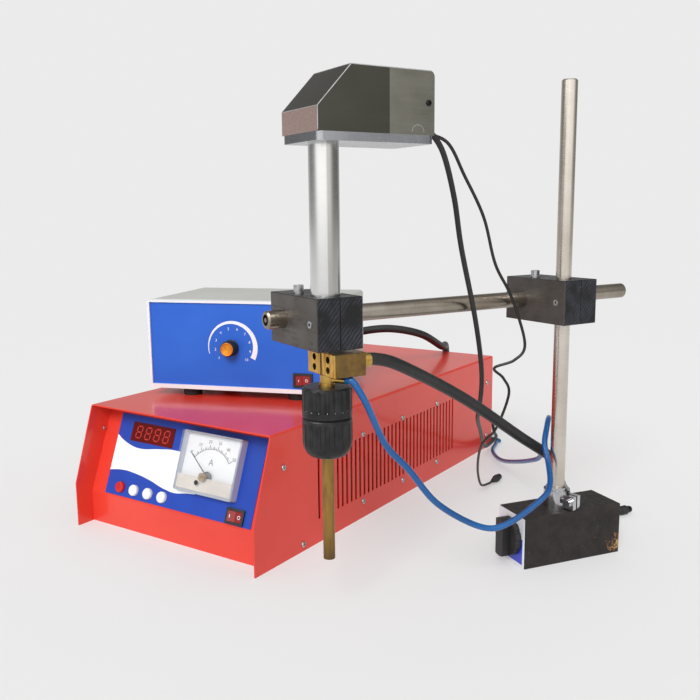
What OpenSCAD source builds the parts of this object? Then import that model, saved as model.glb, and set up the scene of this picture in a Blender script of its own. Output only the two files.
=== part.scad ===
// Portable electrical discharge tap remover: a red power case with a water pump on it,
// and a feed head on a round arm, held by a post on a switchable magnetic base.
// Millimetres, +Z up, X right, Y to the rear. The origin is the middle of the case's underside.

/* [Power case] */
// Width of the power case
case_w = 270; // [220:1:320]
// Depth of the power case
case_d = 568; // [500:1:640]
// Height of the power case
case_h = 140; // [125:1:170]
// Thickness of the folded sheet
sheet = 1.5; // [1:0.1:2.5]
// Height of the straight lower part of the side flanges
flange_bend_z = 51; // [30:1:70]
// How far the flanges lean back at the top
flange_set_back = 30; // [15:1:40]
// How far the control panel lies behind the flanges
panel_recess = 22; // [12:1:30]
// Height of the bend in the control panel
panel_bend_z = 36; // [28:1:40]
// Lean of the control panel from upright, in degrees
panel_lean = 21; // [15:1:24]

/* [Cooling slots] */
// Number of slots in each side
slot_count = 36; // [20:1:40]
// Distance from slot to slot
slot_pitch = 9.2; // [7:0.1:10]
// Width of a slot
slot_w = 4; // [2:0.1:5]
// Height of a slot
slot_h = 72; // [50:1:80]
// Height of the slots' lower ends
slot_z = 27; // [20:1:35]
// Distance of the first slot from the front
slot_start = 109; // [95:1:130]

/* [Control panel] */
// Bare panel beside the plastic overlay, on each side
overlay_side = 22.5; // [15:0.5:30]
// Bare panel above the plastic overlay
overlay_over = 12.3; // [8:0.1:16]
// Thickness of the overlay
overlay_t = 0.8; // [0.4:0.1:1.5]
// Width of the number display
display_w = 68; // [55:1:75]
// Height of the number display
display_h = 22.5; // [16:0.5:26]
// Diameter of a push button
button_d = 12.6; // [9:0.1:14]
// Height of a push button above the overlay
button_proud = 4; // [2:0.1:6]
// Distance from button to button
button_pitch = 22.5; // [18:0.5:24]
// Gap between the display and the current meter
meter_gap = 22; // [15:0.5:30]
// Gap from the overlay's upper edge to the current meter
meter_under = 6; // [3:0.5:8]
// Gap from the rocker switch up to the current meter
meter_over = 5.5; // [2:0.5:8]
// Height of the meter's rim above the panel
meter_proud = 13; // [8:0.5:18]
// Width of a rocker switch's frame
rocker_w = 24; // [20:0.5:26]
// Height of a rocker switch's frame
rocker_h = 17; // [14:0.5:19]

/* [Pump] */
// Width of the pump housing
pump_w = 230; // [200:1:240]
// Depth of the pump housing
pump_d = 160; // [140:1:180]
// Height of the pump housing without its feet
pump_h = 108; // [95:1:125]
// Place of the pump's middle to the side
pump_x = -28; // [-40:1:0]
// Place of the pump's middle to the rear
pump_y = -70; // [-90:1:60]
// Turn of the pump on the case, in degrees
pump_turn = 19; // [0:1:25]
// Wall of the pump housing
pump_wall = 2; // [1.5:0.1:3]
// Diameter of a rubber foot
foot_d = 24; // [16:1:30]
// Height of a rubber foot
foot_h = 10; // [6:0.5:14]
// Diameter of the flow knob
flow_knob_d = 20; // [14:0.5:26]

/* [Magnetic base] */
// Length of the magnetic base
base_l = 118; // [100:1:130]
// Width of the magnetic base
base_w = 48; // [44:1:55]
// Height of the magnetic base
base_h = 54; // [50:1:60]
// Place of the base's middle to the side
base_x = 367; // [340:1:400]
// Place of the base's middle to the rear
base_y = -60; // [-90:1:-30]
// Turn of the base, in degrees
base_turn = 55.5; // [40:0.5:70]
// Diameter of the switch knob
switch_d = 40; // [32:0.5:44]

/* [Stand] */
// Diameter of the upright post
post_d = 15.5; // [12:0.1:18]
// Height of the post's top above the table
post_top = 485; // [400:1:560]
// Diameter of the arm rod
rod_d = 16; // [12:0.1:18]
// Height of the arm rod above the table
rod_z = 270; // [255:1:300]
// Length of the rod in front of the post
rod_front = 315; // [300:1:350]
// Length of the rod behind the post
rod_back = 127; // [60:1:200]
// Turn of the arm, in degrees from X
arm_turn = 65; // [55:1:80]
// Distance from the post to the column, along the arm
reach = 276; // [250:1:290]
// Distance between the two bores of a block
bore_gap = 36; // [32:1:40]
// Length of a block across the arm
block_l = 84; // [78:1:92]
// Width of a block along the arm
block_w = 44; // [38:1:50]
// Height of a block
block_h = 44; // [34:1:48]

/* [Feed head] */
// Diameter of the column tube
column_d = 25.4; // [22:0.1:27]
// Bore of the column tube
column_bore_d = 19; // [16:0.1:20]
// Height of the column tube above the block
column_len = 124; // [100:1:160]
// Thickness of the plate under the motor cover
plate_t = 7; // [5:0.5:10]
// Length of the motor cover
cover_l = 112; // [100:1:125]
// Width of the motor cover
cover_w = 60; // [52:1:68]
// Height of the motor cover
cover_h = 52; // [46:1:60]
// Sheet thickness of the motor cover
cover_sheet = 1.2; // [0.8:0.1:2]
// Length of the cover in front of the column
cover_front = 22; // [18:1:26]
// Height of the cover's upright front face
cover_nose_h = 19; // [12:1:24]
// Depth of the cover's sloping front
cover_slope = 31; // [20:1:38]

/* [Electrode holder] */
// Diameter of the spindle's thin lower end
neck_d = 8; // [6:0.1:10]
// Length of the brass clamp along the arm
brass_l = 31; // [26:1:34]
// Width of the brass clamp across the arm
brass_w = 46; // [38:1:48]
// Height of the brass clamp
brass_h = 20; // [16:0.5:24]
// Diameter of the chuck
chuck_d = 43; // [36:0.5:46]
// Height of the chuck's upper part
chuck_upper_h = 27; // [18:0.5:32]
// Height of the chuck's turning sleeve
chuck_lower_h = 34; // [28:0.5:40]
// Number of flutes round the chuck
chuck_flutes = 18; // [12:1:24]
// Outside diameter of the tube electrode
electrode_d = 10.4; // [4:0.1:12]
// Bore of the tube electrode
electrode_bore_d = 5; // [1:0.1:6]
// Length of the electrode below the chuck
electrode_len = 94; // [60:1:98]

/* [Hidden] */
$fn = 48;

cut = 1;                 // overrun of every cut
run_gap = 0.05;          // radial clearance of a shaft in its bore
loose = 0.3;             // gap round a piece that moves in a frame
red = [0.75, 0.1, 0.08];
steel = [0.8, 0.8, 0.8];
black = [0.1, 0.1, 0.11];
brass = [0.8, 0.65, 0.3];
blue = [0.1, 0.25, 0.75];
grey = [0.75, 0.76, 0.77];

front_y = -case_d / 2;
rear_y = case_d / 2;
panel_y = front_y + panel_recess;
panel_top_z = case_h - sheet;
panel_run = (panel_top_z - panel_bend_z) * tan(panel_lean);
panel_len = (panel_top_z - panel_bend_z) / cos(panel_lean);
inner_w = case_w - 2 * sheet;

function lerp(a, b, t) = a + (b - a) * t;
function sum_to(v, n) = n < 0 ? 0 : v[n] + sum_to(v, n - 1);
function unit(v) = v / norm(v);

// A box with its edges eased, standing on its middle in X and Y
module eased_box(l, w, h, ease) {
    intersection() {
        translate([0, 0, h / 2]) rotate([90, 0, 90]) linear_extrude(l, center = true)
            eased_square(w, h, ease);
        translate([0, 0, h / 2]) rotate([90, 0, 0]) linear_extrude(w, center = true) eased_square(l, h, ease);
        linear_extrude(h) eased_square(l, w, ease);
    }
}

module eased_square(w, h, ease) {
    polygon([[-w / 2 + ease, -h / 2], [w / 2 - ease, -h / 2], [w / 2, -h / 2 + ease], [w / 2, h / 2 - ease],
             [w / 2 - ease, h / 2], [-w / 2 + ease, h / 2], [-w / 2, h / 2 - ease], [-w / 2, -h / 2 + ease]]);
}

// A rectangle on the X axis with its two upper corners rounded
module round_top(w, h, r) {
    translate([-w / 2, 0]) square([w, h - r]);
    translate([-w / 2 + r, 0]) square([w - 2 * r, h]);
    for (s = [-1, 1]) translate([s * (w / 2 - r), h - r]) circle(r);
}

// A rectangle with four round corners, centred
module round_square(w, h, r) {
    square([w - 2 * r, h], center = true);
    square([w, h - 2 * r], center = true);
    for (sx = [-1, 1]) for (sy = [-1, 1]) translate([sx * (w / 2 - r), sy * (h / 2 - r)]) circle(r);
}

// A rod along Z with both ends chamfered
module chamfered_rod(d, len, c) {
    rotate_extrude() polygon([[0, 0], [d / 2 - c, 0], [d / 2, c], [d / 2, len - c], [d / 2 - c, len],
        [0, len]]);
}

// Puts a piece on the leaning control panel: X to the right, Y up along the panel, Z out of it
module on_panel(x = 0, t = 0, lift = 0) {
    translate([0, panel_y, panel_bend_z]) rotate([90 - panel_lean, 0, 0]) translate([x, t, lift]) children();
}

// Puts a piece on the pump: X along its front, Y to its rear, Z up from its underside
module on_pump() {
    translate([pump_x, pump_y, case_h + foot_h]) rotate(pump_turn) children();
}

// Puts a piece on the magnetic base, X along it and away from the switch
module on_base() {
    translate([base_x, base_y, 0]) rotate(base_turn) children();
}

post_on_base = -5;
post_x = base_x + post_on_base * cos(base_turn);
post_y = base_y + post_on_base * sin(base_turn);

// Puts a piece on the arm: X along the rod, Y across it, Z from the table, origin at the post
module on_arm(x = 0, y = 0, z = 0) {
    translate([post_x, post_y, 0]) rotate(arm_turn) translate([x, y, z]) children();
}

// Puts a piece on the column's axis
module on_column(z = 0) {
    on_arm(-reach, 0, z) children();
}

// Power case

slot_places = [for (i = [0 : slot_count - 1]) front_y + slot_start + i * slot_pitch];
cover_corner_r = 3;
tray_flange_h = 14;

module side_outline() {
    polygon([[front_y, 0], [front_y, flange_bend_z], [front_y + flange_set_back, case_h], [rear_y, case_h],
        [rear_y, 0]]);
}

module case_cover() color(red) {
    difference() {
        intersection() {
            translate([0, rear_y, 0]) rotate([90, 0, 0]) linear_extrude(case_d) difference() {
                round_top(case_w, case_h, cover_corner_r);
                translate([0, -cut]) round_top(inner_w, case_h - sheet + cut, cover_corner_r - sheet);
            }
            translate([-case_w / 2, 0, 0]) rotate([90, 0, 90]) linear_extrude(case_w) side_outline();
        }
        for (y = slot_places)
            translate([-case_w / 2 - cut, y, slot_z]) cube([case_w + 2 * cut, slot_w, slot_h]);
        for (p = side_screws) translate([case_w / 2, p[0], p[1]])
            rotate([0, 90, 0]) cylinder(d = screw_hole_d, h = 2 * cut + 2 * sheet, center = true);
        for (p = side_screws) translate([-case_w / 2, p[0], p[1]])
            rotate([0, 90, 0]) cylinder(d = screw_hole_d, h = 2 * cut + 2 * sheet, center = true);
    }
}

screw_hole_d = 3.4;
screw_head_d = 6.5;
screw_head_h = 2;
screw_shank = 5;
screw_row_z = case_h - 38;
screw_low_z = 20;
screw_from_front = 200;
screw_first_y = front_y + screw_from_front;
screw_step = 93;
flange_screw_in = 49;
foot_screw_in = 80;
foot_screw_z = 8;
rear_screw_in = 20;
side_screws = [for (i = [0 : 2]) for (z = [screw_row_z, screw_low_z]) [screw_first_y + i * screw_step, z]];
corner_screws = [[front_y + flange_screw_in, screw_row_z], [front_y + foot_screw_in, foot_screw_z],
    [rear_y - rear_screw_in, screw_row_z], [rear_y - rear_screw_in, screw_low_z]];

module base_tray() color(red) {
    run = rear_y - panel_y - sheet;
    translate([-inner_w / 2, panel_y + sheet, 0]) cube([inner_w, run, sheet]);
    for (x = [-inner_w / 2, inner_w / 2 - sheet])
        translate([x, panel_y + sheet, sheet]) cube([sheet, run - sheet, tray_flange_h - sheet]);
}

overlay_t0 = 2.5;
overlay_w = inner_w - 2 * overlay_side;
overlay_h = panel_len - overlay_over - overlay_t0;
overlay_left = -overlay_w / 2;
overlay_right = overlay_w / 2;
overlay_top = overlay_t0 + overlay_h;
display_in = 22;
display_down = 19;
display_x = overlay_left + display_in + display_w / 2;
display_t = overlay_top - display_down;
button_t = 12.5;
button_in = 24;
button_first_x = overlay_left + button_in;
button_xs = [for (i = [0 : 3]) button_first_x + i * button_pitch];
rocker_in = 22.5;
rocker_x = overlay_right - rocker_in;
rocker_t = 11.5;
meter_low = rocker_t + rocker_h / 2 + meter_over;
meter_h = overlay_top - meter_under - meter_low;
meter_in = 26;
meter_w = overlay_right - meter_in - meter_gap - display_x - display_w / 2;
meter_x = overlay_right - meter_in - meter_w / 2;
meter_t = meter_low + meter_h / 2;
rocker_body_w = rocker_w - 3;
rocker_body_h = rocker_h - 3;
meter_body_d = 50;

module panel_holes(depth) {
    for (x = button_xs) translate([x, button_t, -depth]) cylinder(d = button_d + 2 * loose, h = 2 * depth);
    translate([meter_x, meter_t, -depth]) cylinder(d = meter_body_d, h = 2 * depth);
    translate([rocker_x - rocker_body_w / 2, rocker_t - rocker_body_h / 2, -depth])
        cube([rocker_body_w, rocker_body_h, 2 * depth]);
    translate([display_x - display_w / 2, display_t - display_h / 2, -depth])
        cube([display_w, display_h, 2 * depth]);
}

module front_panel() color(red) {
    slant_sheet = sheet / cos(panel_lean);
    back_bend_z = panel_bend_z - sheet * tan(panel_lean / 2);
    difference() {
        translate([-inner_w / 2, 0, 0]) rotate([90, 0, 90]) linear_extrude(inner_w)
            polygon([[panel_y, 0], [panel_y, panel_bend_z], [panel_y + panel_run, panel_top_z],
                     [panel_y + panel_run + slant_sheet, panel_top_z], [panel_y + sheet, back_bend_z],
                         [panel_y + sheet, 0]]);
        on_panel() panel_holes(cut + 2 * sheet);
    }
}

module front_overlay() color("lightgray") on_panel() difference() {
    translate([overlay_left, overlay_t0, 0]) cube([overlay_w, overlay_h, overlay_t]);
    panel_holes(cut + overlay_t);
    translate([meter_x - meter_w / 2, meter_t - meter_h / 2, -cut])
        cube([meter_w, meter_h, overlay_t + 2 * cut]);
}

window_proud = 0.4;
window_deep = 6;

module display_window() color([0.35, 0.02, 0.03]) on_panel(display_x, display_t, -window_deep)
    linear_extrude(window_deep + overlay_t + window_proud) round_square(display_w, display_h, window_proud);

// Rear wall with its fan opening, behind a guard of rings and spokes
fan_size = 80;
fan_bore_d = 76;
fan_deep = 25;
fan_in = 23.5;
fan_up = 2;
fan_x = -inner_w / 2 + fan_size / 2 + fan_in;
fan_z = case_h / 2 + fan_up;
guard_step = 7;
guard_bar = 2.4;

module rear_panel() color(red) {
    difference() {
        translate([-inner_w / 2, rear_y - sheet, sheet]) cube([inner_w, sheet, case_h - 2 * sheet]);
        translate([fan_x, rear_y, fan_z]) rotate([90, 0, 0]) difference() {
            cylinder(d = fan_bore_d, h = 2 * cut + 2 * sheet, center = true);
            for (r = [guard_step : guard_step : fan_bore_d / 2 - guard_bar]) difference() {
                cylinder(r = r + guard_bar / 2, h = 2 * cut + 3 * sheet, center = true);
                cylinder(r = r - guard_bar / 2, h = 2 * cut + 4 * sheet, center = true);
            }
            for (a = [0 : 45 : 135]) rotate(a) cube([fan_bore_d, guard_bar, 2 * cut + 3 * sheet],
                center = true);
        }
        for (s = sockets) translate([s[0], rear_y, s[1]]) rotate([90, 0, 0])
            cylinder(d = s[2], h = 2 * cut + 2 * sheet, center = true);
        translate([inlet_x, rear_y, inlet_z]) cube([inlet_w, 2 * cut + 2 * sheet, inlet_h], center = true);
    }
}

inlet_in = 103.5;
inlet_x = inner_w / 2 - inlet_in;
inlet_z = 36;
inlet_w = 28;
inlet_h = 20;
inlet_flange = 4;
inlet_deep = 22;
inlet_pin = 2;
// Each socket: place to the side, height, diameter of its body
socket_in = 21.5;
socket_pitch = 34;
socket_down = 42;
low_socket_in = 23.5;
low_socket_z = 36;
low_socket_d = 16;
high_socket_d = 24;
socket_right = inner_w / 2 - socket_in;
socket_row_z = case_h - socket_down;
sockets = [[inner_w / 2 - low_socket_in, low_socket_z, low_socket_d],
    [socket_right - socket_pitch, socket_row_z, high_socket_d], [socket_right, socket_row_z, high_socket_d]];
socket_flange = 3;
socket_proud = 8;
socket_deep = 18;

module rear_sockets() color(black) {
    translate([inlet_x, rear_y, inlet_z]) difference() {
        union() {
            translate([-inlet_w / 2, -inlet_deep, -inlet_h / 2]) cube([inlet_w, inlet_deep, inlet_h]);
            translate([-inlet_w / 2 - inlet_flange, 0, -inlet_h / 2 - inlet_flange / 2])
                cube([inlet_w + 2 * inlet_flange, inlet_pin, inlet_h + inlet_flange]);
        }
        translate([-inlet_w / 2 + inlet_pin, -inlet_deep + 2 * inlet_pin, -inlet_h / 2 + inlet_pin])
            cube([inlet_w - 2 * inlet_pin, inlet_deep, inlet_h - 2 * inlet_pin]);
    }
    for (s = sockets) translate([s[0], rear_y, s[1]]) rotate([-90, 0, 0]) difference() {
        union() {
            translate([0, 0, -socket_deep]) cylinder(d = s[2], h = socket_deep + socket_proud);
            cylinder(d = s[2] + 2 * socket_flange, h = socket_flange);
        }
        translate([0, 0, -socket_deep / 2]) cylinder(d = s[2] / 2, h = socket_deep + socket_proud);
    }
}

fan_mount_t = 4;
fan_hub_d = 30;
fan_gap = 1;
fan_spider = 3;

module on_fan() translate([fan_x, rear_y - sheet, fan_z]) rotate([90, 0, 0]) children();

module fan_frame() color(black) on_fan() {
    difference() {
        linear_extrude(fan_deep) round_square(fan_size, fan_size, fan_mount_t);
        translate([0, 0, -cut]) cylinder(d = fan_bore_d, h = fan_deep + 2 * cut);
    }
    translate([0, 0, fan_deep - fan_spider]) {
        for (a = [45 : 90 : 315]) rotate(a) translate([fan_hub_d / 2 - fan_mount_t, -fan_mount_t / 2, 0])
            cube([fan_bore_d / 2 - fan_hub_d / 2 + fan_mount_t + fan_gap, fan_mount_t, fan_spider]);
        cylinder(d = fan_hub_d, h = fan_spider);
    }
    cylinder_pin_h = fan_deep - fan_spider - fan_gap;
    translate([0, 0, fan_deep - fan_spider - cylinder_pin_h]) cylinder(d = fan_mount_t, h = cylinder_pin_h);
}

module fan_rotor() color(black) on_fan() {
    rotor_h = fan_deep - fan_spider - 2 * fan_gap;
    translate([0, 0, fan_gap]) difference() {
        union() {
            cylinder(d = fan_hub_d, h = rotor_h);
            for (a = [0 : 360 / 7 : 359]) rotate(a) translate([fan_hub_d / 2 - fan_gap, 0, rotor_h / 2])
                rotate([52, 0, 0]) translate([0, -rotor_h / 2, -fan_gap])
                cube([fan_bore_d / 2 - fan_hub_d / 2 - fan_gap, rotor_h, 2 * fan_gap]);
        }
        translate([0, 0, -cut]) cylinder(d = fan_mount_t + 2 * run_gap, h = rotor_h + 2 * cut);
    }
}

// Transformer: laminated core with a winding on its middle leg, on two feet
core_w = 96;
core_d = 52;
core_h = 80;
core_leg = 16;
winding_over = 14;
core_in = 25.5;
core_x = -inner_w / 2 + core_w / 2 + core_in;
core_y = 60;

module transformer() color([0.4, 0.35, 0.3]) translate([core_x, core_y, sheet]) {
    difference() {
        translate([-core_w / 2, -core_d / 2, 0]) cube([core_w, core_d, core_h]);
        for (s = [-1, 1]) translate([s * core_w / 4 - core_leg / 2, -core_d / 2 - cut, core_leg])
            cube([core_leg, core_d + 2 * cut, core_h - 2 * core_leg]);
    }
    color([0.7, 0.35, 0.15]) translate([0, 0, core_leg]) difference() {
        translate([-core_w / 4 - core_leg / 2, -core_d / 2 - winding_over, 0])
            cube([core_w / 2 + core_leg, core_d + 2 * winding_over, core_h - 2 * core_leg]);
        translate([-core_w / 4 + core_leg / 2, -core_d / 2, -cut])
            cube([core_w / 2 - core_leg, core_d, core_h]);
        for (s = [-1, 1]) translate([s * (core_w / 4 + core_leg / 2 + cut) - cut, -core_d / 2, -cut])
            cube([2 * cut, core_d, core_h]);
    }
}

// Power board on four pillars, with a finned heat sink and a row of capacitors
board_l = 170;
board_w = 90;
board_t = 1.6;
board_in = 13.5;
board_x = inner_w / 2 - board_w / 2 - board_in;
board_y = -60;
pillar_d = 7;
pillar_h = 12;
pillar_in = 6;
fin_count = 9;
fin_h = 40;
fin_t = 2;
sink_w = 50;
sink_l = 110;
cap_d = 24;
cap_h = 42;

module circuit_board() color([0.1, 0.35, 0.2]) translate([board_x, board_y, sheet]) {
    for (sx = [-1, 1]) for (sy = [-1, 1])
        translate([sx * (board_w / 2 - pillar_in), sy * (board_l / 2 - pillar_in), 0])
            cylinder(d = pillar_d, h = pillar_h);
    translate([-board_w / 2, -board_l / 2, pillar_h]) cube([board_w, board_l, board_t]);
    color("silver") translate([0, 0, pillar_h + board_t]) {
        translate([-board_w / 2 + pillar_in, -sink_l / 2, 0]) cube([sink_w, sink_l, 2 * fin_t]);
        for (i = [0 : fin_count - 1]) translate([-board_w / 2 + pillar_in + i * (sink_w - fin_t)
            / (fin_count - 1), -sink_l / 2, 0])
            cube([fin_t, sink_l, fin_h]);
    }
    color(black) for (i = [0 : 3])
        translate([board_w / 2 - cap_d / 2 - fin_t, -sink_l / 2 + cap_d / 2 + i * (cap_d + fin_t),
            pillar_h + board_t])
            cylinder(d = cap_d, h = cap_h);
}

module cap_screw() {
    cylinder(d = screw_head_d, h = screw_head_h);
    translate([0, 0, -screw_shank]) cylinder(d = screw_hole_d, h = screw_shank);
}

module case_screws() color(steel) {
    for (s = [-1, 1]) for (p = side_screws) translate([s * case_w / 2, p[0], p[1]]) rotate([0, s * 90, 0])
        cap_screw();
    for (s = [-1, 1]) for (p = corner_screws) translate([s * case_w / 2, p[0], p[1]])
        rotate([0, s * 90, 0]) cylinder(d = screw_head_d, h = screw_head_h);
}

// Meter

meter_wall = 2.5;
meter_body_deep = 24;
dial_t = 1;
window_t = 3;
meter_floor = 3;
pivot_up = 19;
pivot_t = pivot_up - meter_h / 2;
needle_w = 1.2;
needle_short = 2;
needle_t = 0.6;
needle_len = meter_w / 2 - needle_short;
needle_tail = 8;
needle_hub_d = 6;
needle_angle = 52;
zero_d = 9;
zero_hole_d = 7;
zero_proud = 2.5;

module meter_housing() color(black) on_panel(meter_x, meter_t, 0) difference() {
    union() {
        linear_extrude(meter_proud - window_t) round_square(meter_w, meter_h, meter_wall);
        translate([0, 0, -meter_body_deep]) cylinder(d = meter_body_d - 2 * loose, h = meter_body_deep);
    }
    translate([0, 0, meter_floor]) linear_extrude(meter_proud)
        square([meter_w - 2 * meter_wall, meter_h - 2 * meter_wall], center = true);
    translate([0, pivot_t, -meter_body_deep / 2]) cylinder(d = needle_w + 2 * run_gap, h = meter_body_deep);
}

module meter_dial() color("white") on_panel(meter_x, meter_t, meter_floor) difference() {
    linear_extrude(dial_t) square([meter_w - 2 * meter_wall, meter_h - 2 * meter_wall], center = true);
    translate([0, pivot_t, -cut]) cylinder(d = needle_hub_d, h = dial_t + 2 * cut);
}

needle_lift = meter_floor + dial_t + 1.2;

module meter_needle() color(black) on_panel(meter_x, meter_t + pivot_t, 0) {
    translate([0, 0, needle_lift]) rotate(needle_angle) linear_extrude(needle_t)
        polygon([[-needle_w, -needle_tail], [needle_w, -needle_tail], [needle_w / 2, 0],
            [needle_w / 6, needle_len],
                 [-needle_w / 6, needle_len], [-needle_w / 2, 0]]);
    translate([0, 0, -meter_floor]) cylinder(d = needle_w, h = needle_lift + meter_floor);
    translate([0, 0, needle_lift]) cylinder(d = needle_hub_d - 2 * loose, h = needle_w);
}

module meter_window() color([0.8, 0.85, 0.85, 0.5]) on_panel(meter_x, meter_t, meter_proud - window_t)
    difference() {
    linear_extrude(window_t) round_square(meter_w, meter_h, meter_wall);
    translate([0, pivot_t, -cut]) cylinder(d = zero_hole_d + 2 * run_gap, h = window_t + 2 * cut);
}

module meter_zero_screw() color("white") on_panel(meter_x, meter_t + pivot_t, meter_proud) difference() {
    union() {
        translate([0, 0, -window_t + loose]) cylinder(d = zero_hole_d, h = window_t);
        translate([0, 0, loose]) cylinder(d = zero_d, h = zero_proud - loose);
    }
    translate([-zero_d, -needle_w / 2, zero_proud - needle_w]) cube([2 * zero_d, needle_w, 2 * needle_w]);
}

// Buttons and rockers

button_flange_d = 15.6;
button_flange_t = 1.4;

module push_button(x, tint) color(tint) on_panel(x, button_t, 0) {
    button_low = sheet + loose;
    translate([0, 0, -button_low]) rotate_extrude() {
        square([button_d / 2, button_low + overlay_t + button_proud - button_flange_t]);
        translate([0, button_low + overlay_t + button_proud - button_flange_t])
            polygon([[0, 0], [button_d / 2, 0], [button_d / 2 - button_flange_t / 2, button_flange_t * 0.8],
                     [button_d / 2 - button_flange_t * 1.5, button_flange_t], [0, button_flange_t]]);
    }
    translate([0, 0, -button_low - button_flange_t]) cylinder(d = button_flange_d, h = button_flange_t);
}

module button_start() push_button(button_xs[0], [0.8, 0.08, 0.08]);
module button_1() push_button(button_xs[1], "white");
module button_2() push_button(button_xs[2], "white");
module button_3() push_button(button_xs[3], "white");

bezel_t = 2;
rocker_drop = 2.2;
rocker_deep = 6;
rocker_tilt = 10;
rocker_rise = 3.6;
rocker_mid = 1.6;
rocker_wall = 1.2;
rocker_r = rocker_body_w / 2 - rocker_wall - loose;

// A rocker seen along its own pivot, which is the origin, with X along its length
module rocker_form() {
    intersection() {
        circle(rocker_r);
        polygon([[-rocker_body_w, -rocker_deep], [rocker_body_w, -rocker_deep],
                 [rocker_body_w, rocker_mid + rocker_body_w * tan(rocker_tilt)], [0, rocker_mid],
                 [-rocker_body_w, rocker_mid + rocker_body_w * tan(rocker_tilt)]]);
    }
}

// The rocker in a frame that lies in X and Y, facing +Z
module rocker_piece(turn) {
    depth = rocker_body_h - 2 * rocker_wall - 2 * loose;
    translate([0, depth / 2, bezel_t - rocker_drop]) rotate([90, 0, 0]) rotate(turn) linear_extrude(depth)
        rocker_form();
}

module rocker_housing() {
    depth = rocker_body_h - 2 * rocker_wall;
    difference() {
        union() {
            linear_extrude(bezel_t) round_square(rocker_w, rocker_h, rocker_wall);
            translate([-rocker_body_w / 2, -rocker_body_h / 2, -rocker_deep * 2])
                cube([rocker_body_w, rocker_body_h, rocker_deep * 2]);
        }
        translate([0, depth / 2, bezel_t - rocker_drop]) rotate([90, 0, 0])
            cylinder(r = rocker_r + loose, h = depth);
        translate([-rocker_r - loose, -depth / 2, bezel_t - rocker_drop])
            cube([2 * rocker_r + 2 * loose, depth, rocker_deep]);
    }
}

pump_rocker_x = 81;
pump_rocker_z = 16;

module on_pump_front(x, z, lift = 0) {
    on_pump() translate([x, -pump_d / 2, z]) rotate([90, 0, 0]) translate([0, 0, lift]) children();
}

module power_rocker() color([0.85, 0.1, 0.08]) on_panel(rocker_x, rocker_t, overlay_t)
    rocker_piece(-rocker_tilt);
module pump_rocker() color([0.75, 0.08, 0.06]) on_pump_front(pump_rocker_x, pump_rocker_z, -frame_lip)
    rocker_piece(-rocker_tilt);

module rocker_bezels() color(black) {
    on_panel(rocker_x, rocker_t, overlay_t) rocker_housing();
    on_pump_front(pump_rocker_x, pump_rocker_z, -frame_lip) rocker_housing();
}

// Pump

frame_deep = 12;
frame_side = 3;
frame_foot = 5;
frame_lip = 2;
pump_panel_t = 2;
pump_r = 4;
pump_vents = 9;
vent_pitch = 9;
vent_w = 3.5;
vent_h = 46;
vent_z = 40;

module pump_cover() color(grey) on_pump() difference() {
    translate([0, pump_d / 2, 0]) rotate([90, 0, 0]) linear_extrude(pump_d - frame_deep)
        round_top(pump_w, pump_h, pump_r);
    translate([0, pump_d / 2 - pump_wall, pump_wall]) rotate([90, 0, 0]) linear_extrude(pump_d)
        round_top(pump_w - 2 * pump_wall, pump_h - 2 * pump_wall, pump_r - pump_wall);
    for (i = [0 : pump_vents - 1])
        translate([-pump_w / 4 + (i - pump_vents / 2) * vent_pitch, pump_d / 2 - pump_wall - cut, vent_z])
            cube([vent_w, pump_wall + 2 * cut, vent_h]);
    for (f = fittings) translate([f[0], pump_d / 2, f[1]]) rotate([90, 0, 0])
        cylinder(d = f[2], h = 2 * pump_wall + 2 * cut, center = true);
}

module pump_front_frame() color("white") on_pump() difference() {
    translate([0, -pump_d / 2 + frame_deep, 0]) rotate([90, 0, 0]) linear_extrude(frame_deep)
        round_top(pump_w, pump_h, pump_r);
    translate([-pump_w / 2 + frame_side, -pump_d / 2 - cut, frame_foot])
        cube([pump_w - 2 * frame_side, frame_deep + 2 * cut, pump_h - frame_foot - frame_side]);
}

knob_x = -8;
knob_z = 52;
knob_shaft_d = 6;

module pump_panel() color(blue) on_pump() difference() {
    translate([-pump_w / 2 + frame_side, -pump_d / 2 + frame_lip, frame_foot])
        cube([pump_w - 2 * frame_side, pump_panel_t, pump_h - frame_foot - frame_side]);
    translate([knob_x, -pump_d / 2, knob_z]) rotate([90, 0, 0])
        cylinder(d = knob_shaft_d + 2 * run_gap, h = 4 * pump_panel_t + 2 * cut, center = true);
    translate([pump_rocker_x - rocker_body_w / 2, -pump_d / 2 - cut, pump_rocker_z - rocker_body_h / 2])
        cube([rocker_body_w, 2 * frame_lip + pump_panel_t + cut, rocker_body_h]);
}

flow_knob_h = 15;
knob_skirt = 3;
knob_shaft_in = 14;

module pump_knob() color(black) on_pump_front(knob_x, knob_z, -frame_lip + loose) difference() {
    union() {
        rotate_extrude() polygon([[0, 0], [flow_knob_d / 2, 0], [flow_knob_d / 2, knob_skirt],
            [flow_knob_d / 2 - cut, knob_skirt],
            [flow_knob_d / 2 - 2 * cut, flow_knob_h - cut], [flow_knob_d / 2 - 3 * cut, flow_knob_h],
                [0, flow_knob_h]]);
        translate([0, 0, -knob_shaft_in]) cylinder(d = knob_shaft_d, h = knob_shaft_in + cut);
    }
    translate([-needle_w / 2, flow_knob_d / 8, flow_knob_h - needle_w])
        cube([needle_w, flow_knob_d, 2 * needle_w]);
}

foot_in = 35;
foot_back = 20;

module pump_feet() color(black) on_pump() for (sx = [-1, 1]) for (sy = [-1, 1])
    translate([sx * (pump_w / 2 - foot_in - foot_d / 2), sy * (pump_d / 2 - foot_back), -foot_h])
        cylinder(d1 = foot_d - 2 * cut, d2 = foot_d, h = foot_h);

motor_r = 28;
motor_end_gap = 34;
motor_l = pump_d - 2 * motor_end_gap;
motor_sunk = 2;
motor_x = 40;
motor_base_w = 60;
motor_base_t = 6;

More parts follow.
